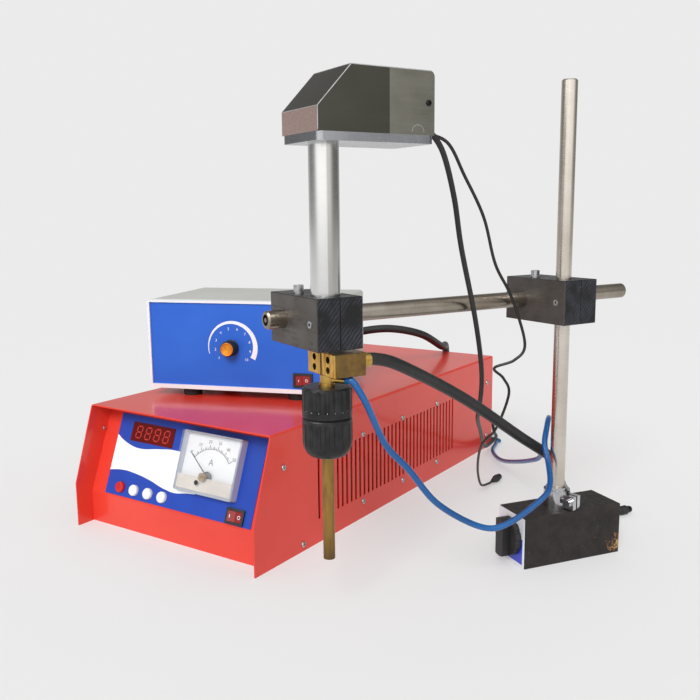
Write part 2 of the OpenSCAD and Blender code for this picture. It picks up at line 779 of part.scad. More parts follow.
module pump_motor() color([0.35, 0.37, 0.4]) on_pump() translate([motor_x, 0, pump_wall]) {
    translate([-motor_base_w / 2, -motor_l / 2, 0]) cube([motor_base_w, motor_l, motor_base_t]);
    difference() {
        translate([0, motor_l / 2, motor_base_t + motor_r - motor_sunk]) rotate([90, 0, 0])
            cylinder(r = motor_r, h = motor_l);
        translate([-motor_r, -motor_l / 2 - cut, -2 * motor_base_t])
            cube([2 * motor_r, motor_l + 2 * cut, 3 * motor_base_t]);
    }
}

// Each fitting on the pump's rear: place to the side, height, thread diameter, hose bore
fittings = [[62, 34, 18, 9], [18, 34, 14, 4.2]];
nut_t = 6;
barb_l = 14;
fitting_in = 26;

module pump_fittings() color(brass) on_pump() for (f = fittings)
    translate([f[0], pump_d / 2 - pump_wall - fitting_in, f[1]]) rotate([-90, 0, 0]) difference() {
        union() {
            cylinder(d = f[2], h = fitting_in + pump_wall);
            translate([0, 0, fitting_in + pump_wall]) cylinder(d = f[2] * 1.3, h = nut_t, $fn = 6);
            translate([0, 0, fitting_in + pump_wall + nut_t]) cylinder(d = f[3], h = barb_l);
        }
        translate([0, 0, fitting_in / 2]) cylinder(d = f[3] * 0.6, h = fitting_in + nut_t + barb_l);
    }

// Magnetic base

plate_end_t = 1.2;
switch_z = 29;
switch_rim = 6;
switch_grip = 8;
switch_grip_w = 13;
switch_shaft_d = 12;
switch_shaft_in = 30;
base_ease = 0.8;

module magnet_body() color(black) on_base() difference() {
    eased_box(base_l, base_w, base_h, base_ease);
    translate([-base_l / 2 - cut, 0, switch_z]) rotate([0, 90, 0])
        cylinder(d = switch_shaft_d + 2 * run_gap, h = switch_shaft_in + 2 * cut);
}

module magnet_plate() color(blue) on_base() difference() {
    translate([-base_l / 2 - plate_end_t, -base_w / 2 + base_ease, base_ease])
        cube([plate_end_t, base_w - 2 * base_ease, base_h - 2 * base_ease]);
    translate([-base_l / 2 - plate_end_t - cut, 0, switch_z]) rotate([0, 90, 0])
        cylinder(d = switch_shaft_d + 2 * run_gap, h = plate_end_t + 2 * cut);
}

module magnet_knob() color(black) on_base() translate([-base_l / 2 - plate_end_t - loose, 0, switch_z])
    rotate([0, -90, 0]) {
    difference() {
        union() {
            cylinder(d = switch_d, h = switch_rim);
            intersection() {
                cylinder(d = switch_d, h = switch_rim + switch_grip);
                translate([-switch_d, -switch_grip_w / 2, 0])
                    cube([2 * switch_d, switch_grip_w, switch_rim + switch_grip]);
            }
        }
        for (a = [0 : 30 : 330]) rotate(a) translate([switch_d / 2 + cut, 0, -cut])
            cylinder(d = 4 * cut, h = switch_rim + 2 * cut);
    }
    translate([0, 0, -switch_shaft_in - plate_end_t - loose])
        cylinder(d = switch_shaft_d, h = switch_shaft_in + plate_end_t + loose);
}

boss_d = 27;
boss_h = 21;
boss_step_d = 22;
ear_l = 11;
ear_w = 12;
ear_h = 14;
slit_w = 2;
ear_screw_d = 5;
ear_head_d = 8.5;
boss_turn = -15;

module post_boss() color(steel) translate([post_x, post_y, base_h]) rotate(boss_turn) {
    difference() {
        union() {
            cylinder(d = boss_d, h = boss_h - 3 * cut);
            cylinder(d = boss_step_d, h = boss_h);
            translate([0, -ear_w / 2, cut]) cube([boss_d / 2 + ear_l, ear_w, ear_h]);
        }
        translate([0, 0, -cut]) cylinder(d = post_d + 2 * run_gap, h = boss_h + 2 * cut);
        translate([0, -slit_w / 2, -cut]) cube([boss_d + ear_l, slit_w, boss_h + 2 * cut]);
        translate([boss_d / 2 + ear_l / 2, 0, cut + ear_h / 2]) rotate([90, 0, 0])
            cylinder(d = ear_screw_d, h = ear_w + 2 * cut, center = true);
    }
    translate([boss_d / 2 + ear_l / 2, -ear_w / 2 - ear_screw_d, cut + ear_h / 2]) rotate([-90, 0, 0]) {
        difference() {
            cylinder(d = ear_head_d, h = ear_screw_d);
            translate([0, 0, -cut]) cylinder(d = ear_head_d / 2, h = ear_screw_d / 2 + cut, $fn = 6);
        }
        cylinder(d = ear_screw_d - 4 * run_gap, h = ear_screw_d + ear_w);
    }
}

// Stand

end_chamfer = 1.2;
post_foot_gap = loose;

module post() color(steel) translate([post_x, post_y, base_h + post_foot_gap])
    chamfered_rod(post_d, post_top - base_h - post_foot_gap, end_chamfer);

near_wall = (block_l - bore_gap) / 2;
block_mid = bore_gap / 2;
block_low = rod_z - block_h / 2;
block_top = rod_z + block_h / 2;
block_ease = 0.8;
seam_w = 1;
side_screw_y = -12;
side_screw_d = 6;
side_screw_deep = 8;
top_screw_x = -9;
top_screw_y = 31;
top_screw_d = 9;
top_screw_h = 7;
top_slot_w = 3;
top_screw_shank_d = 5;

// A cross block: one upright bore on the near side and one for the rod on the far side
module cross_block(upright_d) {
    difference() {
        translate([0, block_mid, block_low]) eased_box(block_w, block_l, block_h, block_ease);
        translate([0, 0, block_low - cut]) cylinder(d = upright_d + 2 * run_gap, h = block_h + 2 * cut);
        translate([-block_w / 2 - cut, bore_gap, rod_z]) rotate([0, 90, 0])
            cylinder(d = rod_d + 2 * run_gap, h = block_w + 2 * cut);
        translate([-seam_w / 2, -near_wall - cut, block_low - cut])
            cube([seam_w, near_wall + cut, block_h + 2 * cut]);
        translate([-block_w / 2 - cut, side_screw_y, rod_z]) rotate([0, 90, 0])
            cylinder(d = side_screw_d, h = side_screw_deep + cut);
        translate([top_screw_x, top_screw_y, block_top - side_screw_deep])
            cylinder(d = top_screw_shank_d, h = side_screw_deep + cut);
    }
}

// A socket set screw in the left face, and a slotted screw that stands on top
module block_screws() {
    translate([-block_w / 2 - cut / 2, side_screw_y, rod_z]) rotate([0, 90, 0]) difference() {
        cylinder(d = side_screw_d, h = side_screw_deep);
        translate([0, 0, -cut]) cylinder(d = side_screw_d * 0.55, h = side_screw_deep / 2, $fn = 6);
    }
    translate([top_screw_x, top_screw_y, block_top]) {
        difference() {
            cylinder(d = top_screw_d, h = top_screw_h);
            translate([-top_slot_w / 2, -top_screw_d, top_screw_h / 3])
                cube([top_slot_w, 2 * top_screw_d, top_screw_h]);
        }
        translate([0, 0, -side_screw_deep]) cylinder(d = top_screw_shank_d, h = side_screw_deep);
    }
}

module clamp_block() color(black) on_arm() cross_block(post_d);
module clamp_screws() color(steel) on_arm() block_screws();
module head_block() color(black) on_column() cross_block(column_d);
module head_screws() color(steel) on_column() block_screws();

rod_socket_d = 10;
rod_socket_deep = 7;
rod_pin_d = 4;

module rod() color(steel) on_arm(-rod_front, bore_gap, rod_z) rotate([0, 90, 0]) {
    difference() {
        chamfered_rod(rod_d, rod_front + rod_back, end_chamfer);
        translate([0, 0, -cut]) cylinder(d = rod_socket_d, h = rod_socket_deep + cut);
    }
    cylinder(d = rod_pin_d, h = rod_socket_deep);
}

// Feed head

column_top = block_top + column_len;

module column_tube() color(steel) on_column(block_low) difference() {
    cylinder(d = column_d, h = column_top - block_low);
    translate([0, 0, -cut]) cylinder(d = column_bore_d, h = column_top - block_low + 2 * cut);
}

plate_r = 5;
screw_bore_d = 10;
cover_mid = cover_l / 2 - cover_front;
cover_z = column_top + plate_t;
cover_top = column_top + cover_h + plate_t;
cover_round = 5;

module cover_plate() color(steel) on_column(column_top) difference() {
    translate([cover_mid, 0, 0]) linear_extrude(plate_t) round_square(cover_l, cover_w, plate_r);
    translate([0, 0, -cut]) cylinder(d = screw_bore_d, h = plate_t + 2 * cut);
}

// The motor cover's outline seen from its side, less an even wall
module cover_outline(wall, low) {
    x0 = -cover_front + wall;
    x1 = cover_l - cover_front - wall;
    top = cover_h - wall;
    rise = atan2(cover_h - cover_nose_h, cover_slope);
    r = cover_round - wall;
    steps = 6;
    polygon(concat([[x0, low], [x0, cover_nose_h - wall * tan(45 - rise / 2)],
        [-cover_front + cover_slope + wall * tan(rise / 2), top]],
        [for (i = [0 : steps]) [x1 - r + r * sin(90 * i / steps), top - r + r * cos(90 * i / steps)]],
            [[x1, low]]));
}

module motor_cover() color(steel) on_column(cover_z) difference() {
    translate([0, cover_w / 2, 0]) rotate([90, 0, 0]) linear_extrude(cover_w) cover_outline(0, 0);
    translate([0, cover_w / 2 - cover_sheet, 0]) rotate([90, 0, 0]) linear_extrude(cover_w - 2 * cover_sheet)
        cover_outline(cover_sheet, -cut);
    for (hole = [[motor_gland_y, motor_cable_d], [sensor_gland_y, sensor_cable_d]])
        translate([cover_l - cover_front, hole[0], gland_z]) rotate([0, 90, 0])
        cylinder(d = hole[1] + 2 * loose, h = 4 * cover_sheet, center = true);
}

gland_deep = 7;
motor_cable_d = 5;
sensor_cable_d = 3;
motor_gland_y = -21;
sensor_gland_y = -8;
gland_z = 4;

feed_motor_d = 24;
feed_motor_l = 52;
gearbox_w = 40;
gearbox_l = 60;
gearbox_h = 18;
feed_motor_x = 46;

module feed_motor() color([0.3, 0.3, 0.32]) on_column(cover_z) {
    difference() {
        translate([(gearbox_l - gearbox_w) / 2, 0, 0]) linear_extrude(gearbox_h)
            round_square(gearbox_l, gearbox_w, plate_r);
        translate([0, 0, -cut]) cylinder(d = screw_bore_d, h = gearbox_h + 2 * cut);
    }
    translate([feed_motor_x - feed_motor_l / 2, 0, gearbox_h + feed_motor_d / 2 - cut]) rotate([0, 90, 0])
        cylinder(d = feed_motor_d, h = feed_motor_l);
}

// Lead screw: its collar runs on the gearbox and its stem hangs down inside the spindle
lead_d = 8;
lead_collar_d = 18;
lead_collar_t = 5;
lead_end_z = block_low + 20;

module lead_screw() color(steel) on_column() {
    translate([0, 0, lead_end_z]) cylinder(d = lead_d, h = cover_z + gearbox_h + loose - lead_end_z);
    translate([0, 0, column_top - run_gap]) cylinder(d = screw_bore_d - 2 * run_gap,
        h = plate_t + gearbox_h + run_gap);
    translate([0, 0, cover_z + gearbox_h + loose]) cylinder(d = lead_collar_d, h = lead_collar_t);
}

// Electrode holder

brass_gap = 3.5;
brass_top = block_low - brass_gap;
brass_low = brass_top - brass_h;
nozzle_h = 10;
chuck_top = brass_low - nozzle_h;
chuck_seam = chuck_top - chuck_upper_h;
chuck_low = chuck_seam - chuck_lower_h;
spindle_down = 60;
spindle_top = column_top - spindle_down;
spindle_bore_d = lead_d + 2 * loose;
nut_bore_d = lead_d + 2 * run_gap;
nut_len = 18;
chuck_shank_in = 12;

module spindle() color(steel) on_column() difference() {
    union() {
        translate([0, 0, block_low + 2 * cut]) cylinder(d = column_bore_d - 2 * run_gap,
            h = spindle_top - block_low - 2 * cut);
        translate([0, 0, chuck_top - chuck_shank_in])
            cylinder(d = neck_d, h = block_low + 3 * cut - chuck_top + chuck_shank_in);
    }
    translate([0, 0, lead_end_z - 5 * cut]) cylinder(d = spindle_bore_d,
        h = spindle_top - lead_end_z - nut_len + 5 * cut);
    translate([0, 0, spindle_top - nut_len - cut]) cylinder(d = nut_bore_d, h = nut_len + 2 * cut);
}

brass_front = 5.5;
brass_ease = 0.6;
brass_slit_w = 2.4;
brass_screw_d = 6;
brass_screw_deep = 7;

module brass_clamp() color(brass) on_column() difference() {
    translate([brass_l / 2 - brass_front, 0, brass_low]) eased_box(brass_l, brass_w, brass_h, brass_ease);
    translate([0, 0, brass_low - cut]) cylinder(d = neck_d, h = brass_h + 2 * cut);
    translate([-brass_front - cut, -brass_slit_w / 2, brass_low - cut])
        cube([brass_front + cut, brass_slit_w, brass_h + 2 * cut]);
    for (s = [-1, 1]) for (z = [0.28, 0.72]) translate([-brass_front - cut, s * brass_w / 4,
        brass_low + z * brass_h])
        rotate([0, 90, 0]) cylinder(d = brass_screw_d, h = brass_screw_deep + cut);
}

lug_y = -12;
lug_z = brass_top - 9;
lug_d = 13;
lug_len = 9;

module cable_lug() color(brass) on_column() translate([brass_l - brass_front, lug_y, lug_z])
    rotate([0, 90, 0]) difference() {
    cylinder(d = lug_d, h = lug_len);
    translate([0, 0, lug_len / 2]) cylinder(d = cable_d, h = lug_len);
}

nozzle_d = 12;
nozzle_ring_d = 14;
nozzle_barb_d = 5;
nozzle_barb_l = 12;
nozzle_turn = -55;
nozzle_drop = 4.5;

module water_nozzle() color(brass) on_column() difference() {
    union() {
        translate([0, 0, chuck_top]) cylinder(d = nozzle_d, h = nozzle_h);
        translate([0, 0, chuck_top]) cylinder(d = nozzle_ring_d, h = nozzle_h / 5);
        rotate(nozzle_turn) translate([0, 0, brass_low - nozzle_drop]) rotate([0, 90, 0])
            cylinder(d = nozzle_barb_d, h = nozzle_d / 2 + nozzle_barb_l);
    }
    translate([0, 0, chuck_top - cut]) cylinder(d = neck_d, h = brass_low - chuck_top + 2 * cut);
}

flute_d = 5;
flute_in = 1.1;
chuck_ease = 1.2;
nose_d = 25;
nose_round_share = 0.42;
chuck_bore_d = 26;
sleeve_gap = 0.3;

// The turning sleeve's outer outline: upright, then a quarter-round drawn in to the nose
module sleeve_outline() {
    round_h = chuck_lower_h * nose_round_share;
    steps = 8;
    polygon(concat([[0, chuck_lower_h], [chuck_d / 2 - chuck_ease, chuck_lower_h],
        [chuck_d / 2, chuck_lower_h - chuck_ease]],
        [for (i = [0 : steps]) [nose_d / 2 + (chuck_d - nose_d)
            / 2 * cos(90 * i / steps), round_h * (1 - sin(90 * i / steps))]],
        [[0, 0]]));
}

module chuck_body() color(black) on_column() difference() {
    union() {
        translate([0, 0, chuck_seam + sleeve_gap]) rotate_extrude()
            polygon([[0, 0], [chuck_d / 2 - chuck_ease, 0], [chuck_d / 2, chuck_ease],
            [chuck_d / 2, chuck_upper_h - 2 * chuck_ease],
                [chuck_d / 2 - 2 * chuck_ease, chuck_upper_h - sleeve_gap], [0, chuck_upper_h - sleeve_gap]]);
        translate([0, 0, chuck_low + core_up]) cylinder(d = chuck_bore_d - 2 * run_gap,
            h = chuck_lower_h + cut - core_up);
    }
    translate([0, 0, chuck_top - chuck_shank_in]) cylinder(d = neck_d, h = chuck_shank_in + cut);
    for (i = [0 : chuck_flutes - 1]) rotate(i * 360 / chuck_flutes)
        translate([chuck_d / 2 + flute_d / 2 - flute_in, 0, chuck_seam + chuck_upper_h / 4])
            cylinder(d = flute_d, h = chuck_upper_h);
    translate([0, 0, chuck_low - cut]) cylinder(d = jaw_ring_d, h = jaw_h + 2 * cut);
}

core_up = 6;
jaw_ring_d = 17;
jaw_h = 26;
jaw_gap_w = 1.6;
ring_t = 1.6;

module chuck_sleeve() color(black) on_column() difference() {
    translate([0, 0, chuck_low]) rotate_extrude() sleeve_outline();
    translate([0, 0, chuck_low + core_up - sleeve_gap]) cylinder(d = chuck_bore_d, h = chuck_lower_h);
    translate([0, 0, chuck_low - cut]) cylinder(d = jaw_ring_d + 2 * sleeve_gap, h = chuck_lower_h);
    for (i = [0 : chuck_flutes - 1]) rotate(i * 360 / chuck_flutes)
        translate([chuck_d / 2 + flute_d / 2 - flute_in, 0, chuck_low - cut])
            cylinder(d = flute_d, h = chuck_lower_h - 3 * cut);
}

module chuck_jaws() color(steel) on_column() translate([0, 0, chuck_low - ring_t]) difference() {
    cylinder(d = jaw_ring_d - 2 * run_gap, h = jaw_h + ring_t);
    translate([0, 0, -cut]) cylinder(d = electrode_d + 2 * run_gap, h = jaw_h + ring_t + 2 * cut);
    for (a = [30 : 120 : 270]) rotate(a) translate([electrode_d / 4, -jaw_gap_w / 2, -cut])
        cube([jaw_ring_d, jaw_gap_w, jaw_h + ring_t + 2 * cut]);
}

electrode_in = 22;

module electrode() color([0.7, 0.55, 0.25]) on_column(chuck_low - electrode_len) difference() {
    cylinder(d = electrode_d, h = electrode_len + electrode_in);
    translate([0, 0, -cut]) cylinder(d = electrode_bore_d, h = electrode_len + electrode_in + 2 * cut);
}

// Cords. Each route is its own list of places, chosen by hand.

cable_d = 11;
hose_d = 6;
pump_hose_d = 11;
plug_l = 42;
small_plug_d = 10;
small_plug_l = 24;
strainer_l = 38;
motor_plug_d = 14;
motor_plug_l = 22;

// A place on the arm, on the pump and on the control panel, in the part's own frame
function arm_place(x, y, z) = [post_x + x * cos(arm_turn) - y * sin(arm_turn), post_y + x * sin(arm_turn)
    + y * cos(arm_turn), z];
function pump_place(x, y, z) = [pump_x + x * cos(pump_turn)
    - y * sin(pump_turn), pump_y + x * sin(pump_turn) + y * cos(pump_turn),
    case_h + foot_h + z];
function column_place(x, y, z) = arm_place(x - reach, y, z);
cover_back = cover_l - cover_front;
barb_x = cos(nozzle_turn) * (nozzle_d / 2 + nozzle_barb_l);
barb_y = sin(nozzle_turn) * (nozzle_d / 2 + nozzle_barb_l);
barb_z = brass_low - nozzle_drop;
fitting_y = pump_d / 2 + nut_t + barb_l;
lug_x = brass_l - brass_front + lug_len / 2;

electrode_cable_route = concat(
    [column_place(lug_x, lug_y, lug_z), column_place(lug_x + cable_d, lug_y, lug_z)],
    [[286, -255, 226], [305, -170, 183], [331, -92, 131], [351, -40, 94], [351, -14, 60], [354, 12, 26],
     [364, 38, 8], [375, 56, 6], [386, 74, 6]]);
motor_cable_route = concat(
    [column_place(cover_back - gland_deep, motor_gland_y, cover_z + gland_z),
     column_place(cover_back + sheet, motor_gland_y, cover_z + gland_z)],
    [[310, -224, 410], [309, -200, 372], [306, -178, 326], [302, -136, 252], [289, -92, 193], [273, -60, 151],
     [252, -20, 123], [219, 60, 86], [170, 178, 32], [151, 232, 13], [142, 285, 12.5], [122, 324, 9],
     [110, 342, 21], [110, 333, 35]],
    [[sockets[0][0], rear_y + socket_proud + motor_plug_l, sockets[0][1]]]);
sensor_cable_route = concat(
    [column_place(cover_back - gland_deep, sensor_gland_y, cover_z + gland_z),
     column_place(cover_back + sheet, sensor_gland_y, cover_z + gland_z)],
    [[306, -209, 420], [311, -184, 392], [317, -154, 354], [319, -130, 309], [324, -100, 274],
        [328, -72, 224],
     [318, -74, 206], [297, -78, 196], [300, -60, 182], [301, -47, 162], [280, -32, 117], [252, -8, 88],
     [228, 34, 46], [217, 68, 12], [216, 94, 5.3], [216, 106, 5.3]]);
water_hose_route = concat(
    [for (more = [0, hose_d]) column_place(barb_x + more * cos(nozzle_turn),
        barb_y + more * sin(nozzle_turn), barb_z)],
    [[278, -300, 200], [282, -275, 158], [294, -255, 132], [311, -230, 95], [336, -190, 65], [353, -165, 64],
     [371, -124, 80], [371, -104, 89], [361, -82, 102], [351, -68, 119], [347, -52, 133], [342, -34, 138],
     [334, -14, 128], [305, 48, 72], [278, 82, 50], [206, 166, 16], [160, 234, 5], [143, 284, 4.5],
     [130, 300, 4.5], [0, 301, 4.5], [-98, 300, 5.5], [-121, 295, 30], [-121, 294, 126], [-116, 284, 149],
     [-64, 120, 152], [-56, 70, 176]],
    [for (more = [hose_d, 0]) pump_place(fittings[1][0], fitting_y + more, fittings[1][1])]);
pump_hose_route = concat(
    [for (more = [0, pump_hose_d]) pump_place(fittings[0][0], fitting_y + more, fittings[0][1])],
    [[8, 96, 191], [40, 134, 194], [67, 180, 182], [66, 246, 155], [50, 292, 146], [45, 304, 96],
        [44, 308, 44],
     [34, 320, 12], [10, 338, 6.2], [-34, 348, 6.2]]);

function along(path, i) = unit(path[min(i + 1, len(path) - 1)] - path[max(i - 1, 0)]);

// A frame that turns as little as it can from point to point
function next_side(side, dir) = unit(side - (side * dir) * dir);
function sides(path, i, side) = i >= len(path) ? [] : let (s = next_side(side, along(path, i)))
    concat([s], sides(path, i + 1, s));

module cord(path, d, facets) {
    n = len(path);
    first = unit(cross(along(path, 0), abs(along(path, 0)[2]) > 0.9 ? [1, 0, 0] : [0, 0, 1]));
    s = sides(path, 0, first);
    rings = [for (i = [0 : n - 1]) let (t = along(path, i), u = s[i], v = cross(t, u))
        for (k = [0 : facets - 1]) path[i] + d / 2 * (cos(360 * k / facets) * u + sin(360 * k / facets) * v)];
    faces = concat(
        [for (i = [0 : n - 2]) for (k = [0 : facets - 1])
            [i * facets + k, (i + 1) * facets + k, i * facets + (k + 1) % facets]],
        [for (i = [0 : n - 2]) for (k = [0 : facets - 1])
            [(i + 1) * facets + k, (i + 1) * facets + (k + 1) % facets, i * facets + (k + 1) % facets]],
        [[for (k = [0 : facets - 1]) k]], [[for (k = [0 : facets - 1]) n * facets - 1 - k]]);
    polyhedron(points = rings, faces = faces);
}

module electrode_cable() color(black) cord(electrode_cable_route, cable_d, 8);
module motor_cable() color(black) cord(motor_cable_route, motor_cable_d, 8);
module sensor_cable() color(black) cord(sensor_cable_route, sensor_cable_d, 8);
module water_hose() color("steelblue") cord(water_hose_route, hose_d, 8);
module pump_hose() color(black) cord(pump_hose_route, pump_hose_d, 8);

// A plug on each loose lead, and the strainer on the pump's suction hose

module at_end(route) {
    n = len(route) - 1;
    dir = unit(route[n] - route[n - 1]);
    translate(route[n]) rotate([0, acos(dir[2]), atan2(dir[1], dir[0])]) children();
}

module cord_ends() {
    color(black) at_end(electrode_cable_route) cylinder(d = cable_d, h = plug_l);
    color(black) at_end(sensor_cable_route) cylinder(d = small_plug_d, h = small_plug_l);
    color(black) translate([sockets[0][0], rear_y + socket_proud, sockets[0][1]]) rotate([-90, 0, 0])
        cylinder(d = motor_plug_d, h = motor_plug_l);
    color("white") at_end(pump_hose_route) cylinder(d = pump_hose_d, h = strainer_l);
}

case_cover();
base_tray();
front_panel();
rear_panel();
front_overlay();
display_window();
meter_housing();
meter_dial();
meter_needle();
meter_window();
meter_zero_screw();
button_start();
button_1();
button_2();
button_3();
power_rocker();
rocker_bezels();
case_screws();
fan_frame();
fan_rotor();
transformer();
circuit_board();
rear_sockets();
pump_cover();
pump_front_frame();
pump_panel();
pump_knob();
pump_rocker();
pump_feet();
pump_motor();
pump_fittings();
magnet_body();
magnet_plate();
magnet_knob();
post_boss();
post();
clamp_block();
clamp_screws();
rod();
head_block();
head_screws();
column_tube();
cover_plate();
motor_cover();
feed_motor();
lead_screw();
spindle();
brass_clamp();
cable_lug();
water_nozzle();
chuck_body();
chuck_sleeve();
chuck_jaws();
electrode();
electrode_cable();
motor_cable();
sensor_cable();
water_hose();
pump_hose();
cord_ends();
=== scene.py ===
# %% [markdown]
# # A portable discharge tap remover
#
# This machine burns broken taps out of a workpiece. A red power case makes the sparks, a pump on
# top of it sends water, and a feed head on a round arm lowers a brass tube into the hole. The arm
# hangs on a steel post that a switchable magnet holds to the table. The frame that is loaded here
# already holds every rigid piece at its real size. This lesson gives each of them its finish, and
# adds what is soft, printed or small: cables, hoses, dials, digits, screws and marks.

# %% Load the frame and measure it
import math

import bmesh
import bpy
import numpy as np
from mathutils import Matrix, Vector


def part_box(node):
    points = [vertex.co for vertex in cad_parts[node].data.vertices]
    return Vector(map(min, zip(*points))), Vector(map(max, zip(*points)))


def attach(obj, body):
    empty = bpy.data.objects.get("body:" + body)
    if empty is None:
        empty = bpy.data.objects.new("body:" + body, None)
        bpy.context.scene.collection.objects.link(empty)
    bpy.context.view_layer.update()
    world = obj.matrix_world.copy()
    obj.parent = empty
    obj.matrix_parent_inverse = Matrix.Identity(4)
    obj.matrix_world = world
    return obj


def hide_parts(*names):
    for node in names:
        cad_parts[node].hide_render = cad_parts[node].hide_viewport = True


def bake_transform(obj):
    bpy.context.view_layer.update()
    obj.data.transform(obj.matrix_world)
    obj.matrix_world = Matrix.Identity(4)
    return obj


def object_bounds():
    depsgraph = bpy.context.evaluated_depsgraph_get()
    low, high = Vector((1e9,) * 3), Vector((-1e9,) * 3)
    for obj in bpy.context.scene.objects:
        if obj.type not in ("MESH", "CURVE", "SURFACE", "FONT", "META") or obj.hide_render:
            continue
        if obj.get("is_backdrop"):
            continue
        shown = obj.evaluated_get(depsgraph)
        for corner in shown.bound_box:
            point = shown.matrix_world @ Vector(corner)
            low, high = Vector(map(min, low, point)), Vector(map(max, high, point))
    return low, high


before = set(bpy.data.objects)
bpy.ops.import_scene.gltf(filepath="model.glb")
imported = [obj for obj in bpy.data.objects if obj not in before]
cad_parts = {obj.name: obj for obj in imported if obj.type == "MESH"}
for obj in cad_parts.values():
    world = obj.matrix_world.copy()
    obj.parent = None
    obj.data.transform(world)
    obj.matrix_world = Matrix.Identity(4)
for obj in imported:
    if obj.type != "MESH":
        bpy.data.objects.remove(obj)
cad_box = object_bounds()
mm = 0.001
finishes = {}

# %% [markdown]
# ## Places on the machine
#
# The pump, the magnetic base and the arm each stand turned on the table, and the control panel
# leans back. A detail is easiest to draw in the directions of the piece that carries it. So each
# of them gets a seat: a function that takes millimetres across, up and out of the piece and gives
# the point in the shared frame, in metres. The middles of the seats come from the frame itself.

# %% Seats
pump_turn, base_turn, arm_turn = 19.0, 55.5, 65.0
panel_lean, panel_bend_z = 21.0, 36.0
pump_half_depth = 80.0
Z = np.array([0.0, 0.0, 1.0])


def middle(node):
    """The middle of a node's box, in millimetres."""
    low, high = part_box(node)
    return (np.array(low) + np.array(high)) / (2 * mm)


def level(degrees):
    """The unit vector in the table's plane, turned so many degrees from X."""
    return np.array([math.cos(math.radians(degrees)), math.sin(math.radians(degrees)), 0.0])


def seat(origin, across, up, out):
    """place(a, b, c) = origin + a across + b up + c out, of arrays, millimetres to metres."""
    axes = np.array([across, up, out], float)
    origin = np.array(origin, float)

    def place(a, b, c=0.0):
        a, b, c = np.broadcast_arrays(np.asarray(a, float), b, c)
        return (origin + np.stack([a, b, c], -1) @ axes) * mm

    return place


def on_floor(point, z=0.0):
    return np.array([point[0], point[1], z])


arm_x, arm_y = level(arm_turn), level(arm_turn + 90)
pump_dx, pump_dy = level(pump_turn), level(pump_turn + 90)
base_dx, base_dy = level(base_turn), level(base_turn + 90)
column_mid = middle("column_tube")
column = seat(on_floor(column_mid), arm_x, arm_y, Z)
pump_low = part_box("pump_cover")[0].z / mm
pump = seat(on_floor(middle("pump_feet"), pump_low), pump_dx, pump_dy, Z)
pump_front = seat(pump(0, -pump_half_depth, 0) / mm, pump_dx, Z, -pump_dy)
base = seat(on_floor(middle("magnet_body")), base_dx, base_dy, Z)
lean = math.radians(panel_lean)
panel_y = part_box("front_panel")[0].y / mm
panel_up = np.array([0.0, math.sin(lean), math.cos(lean)])
panel_out = np.array([0.0, -math.cos(lean), math.sin(lean)])
panel = seat([0.0, panel_y, panel_bend_z], [1.0, 0.0, 0.0], panel_up, panel_out)
print("column at", column_mid.round(2), "pump's floor at", round(pump_low, 2))

# %% [markdown]
# ## The camera
#
# The picture was taken from the right of the machine and a little above it, with a lens of about
# 43 mm. The camera could be aimed with a tracking constraint, but three angles say the same and
# stay readable: a yaw round the upright, a small pitch down, and half a degree of roll.

# %% Camera
camera_place = Vector((0.6517, -0.8842, 0.3624))
yaw, pitch, roll = (math.radians(a) for a in (33.70, 9.52, -0.58))
lens_mm, sensor_mm = 42.99, 36.0
back = Vector((math.sin(yaw) * math.cos(pitch), -math.cos(yaw) * math.cos(pitch), math.sin(pitch)))
right = (-back).cross(Vector((0, 0, 1))).normalized()
up = right.cross(-back)
side_axis = right * math.cos(roll) + up * math.sin(roll)
top_axis = up * math.cos(roll) - right * math.sin(roll)
camera_data = bpy.data.cameras.new("camera")
camera_data.lens = lens_mm
camera_data.sensor_width = sensor_mm
camera = bpy.data.objects.new("camera", camera_data)
aimed = Matrix((side_axis, top_axis, back)).transposed().to_4x4()
camera.matrix_world = Matrix.Translation(camera_place) @ aimed
bpy.context.scene.collection.objects.link(camera)
bpy.context.scene.camera = camera
print("camera looks along", tuple(round(v, 3) for v in -back))

# %% [markdown]
# ## Meshes from whole arrays
#
# Apart from printed characters, every new piece is a surface worked out on a grid of numbers,
# never a stock cube or cylinder. A shape is a pair of points and faces, and several shapes can be
# laid in one mesh. When a mesh is finished its doubled points are welded, its faces are turned
# outwards, and edges that bend by more than a set angle stay sharp.

# %% Mesh helpers
weld = 1e-6
sharp_angle = math.radians(35)


def grid_faces(rows, cols, ring=True):
    """Quads between neighbours of a grid; the columns close into a ring where ring is true."""
    i = np.arange(rows - 1)[:, None]
    j = np.arange(cols if ring else cols - 1)[None, :]
    a, b = i * cols + j, i * cols + (j + 1) % cols
    return np.stack([a, b, b + cols, a + cols], -1).reshape(-1, 4).tolist()


def joined(shapes):
    """Lays several (points, faces) shapes in one, their faces moved on past the points before."""
    points, faces, start = [], [], 0
    for p, f in shapes:
        p = np.asarray(p, float).reshape(-1, 3)
        points.append(p)
        faces += [[start + k for k in face] for face in f]
        start += len(p)
    return np.concatenate(points), faces


def make_piece(name, shape, finish, body=None, hides=()):
    """Puts a shape in a mesh, welds it, turns its faces outwards and lets it ride on a body."""
    points, faces = joined(shape) if isinstance(shape, list) else shape
    mesh = bpy.data.meshes.new(name)
    mesh.from_pydata(np.asarray(points, float).reshape(-1, 3).tolist(), [], faces)
    b = bmesh.new()
    b.from_mesh(mesh)
    bmesh.ops.remove_doubles(b, verts=b.verts, dist=weld)
    bmesh.ops.recalc_face_normals(b, faces=b.faces)
    for face in b.faces:
        face.smooth = True
    for edge in b.edges:
        edge.smooth = edge.calc_face_angle(0.0) < sharp_angle
    b.to_mesh(mesh)
    b.free()
    mesh.materials.append(finishes[finish])
    piece = bpy.data.objects.new(name, mesh)
    bpy.context.scene.collection.objects.link(piece)
    if body:
        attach(piece, body)
    if hides:
        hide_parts(*hides)
    return piece


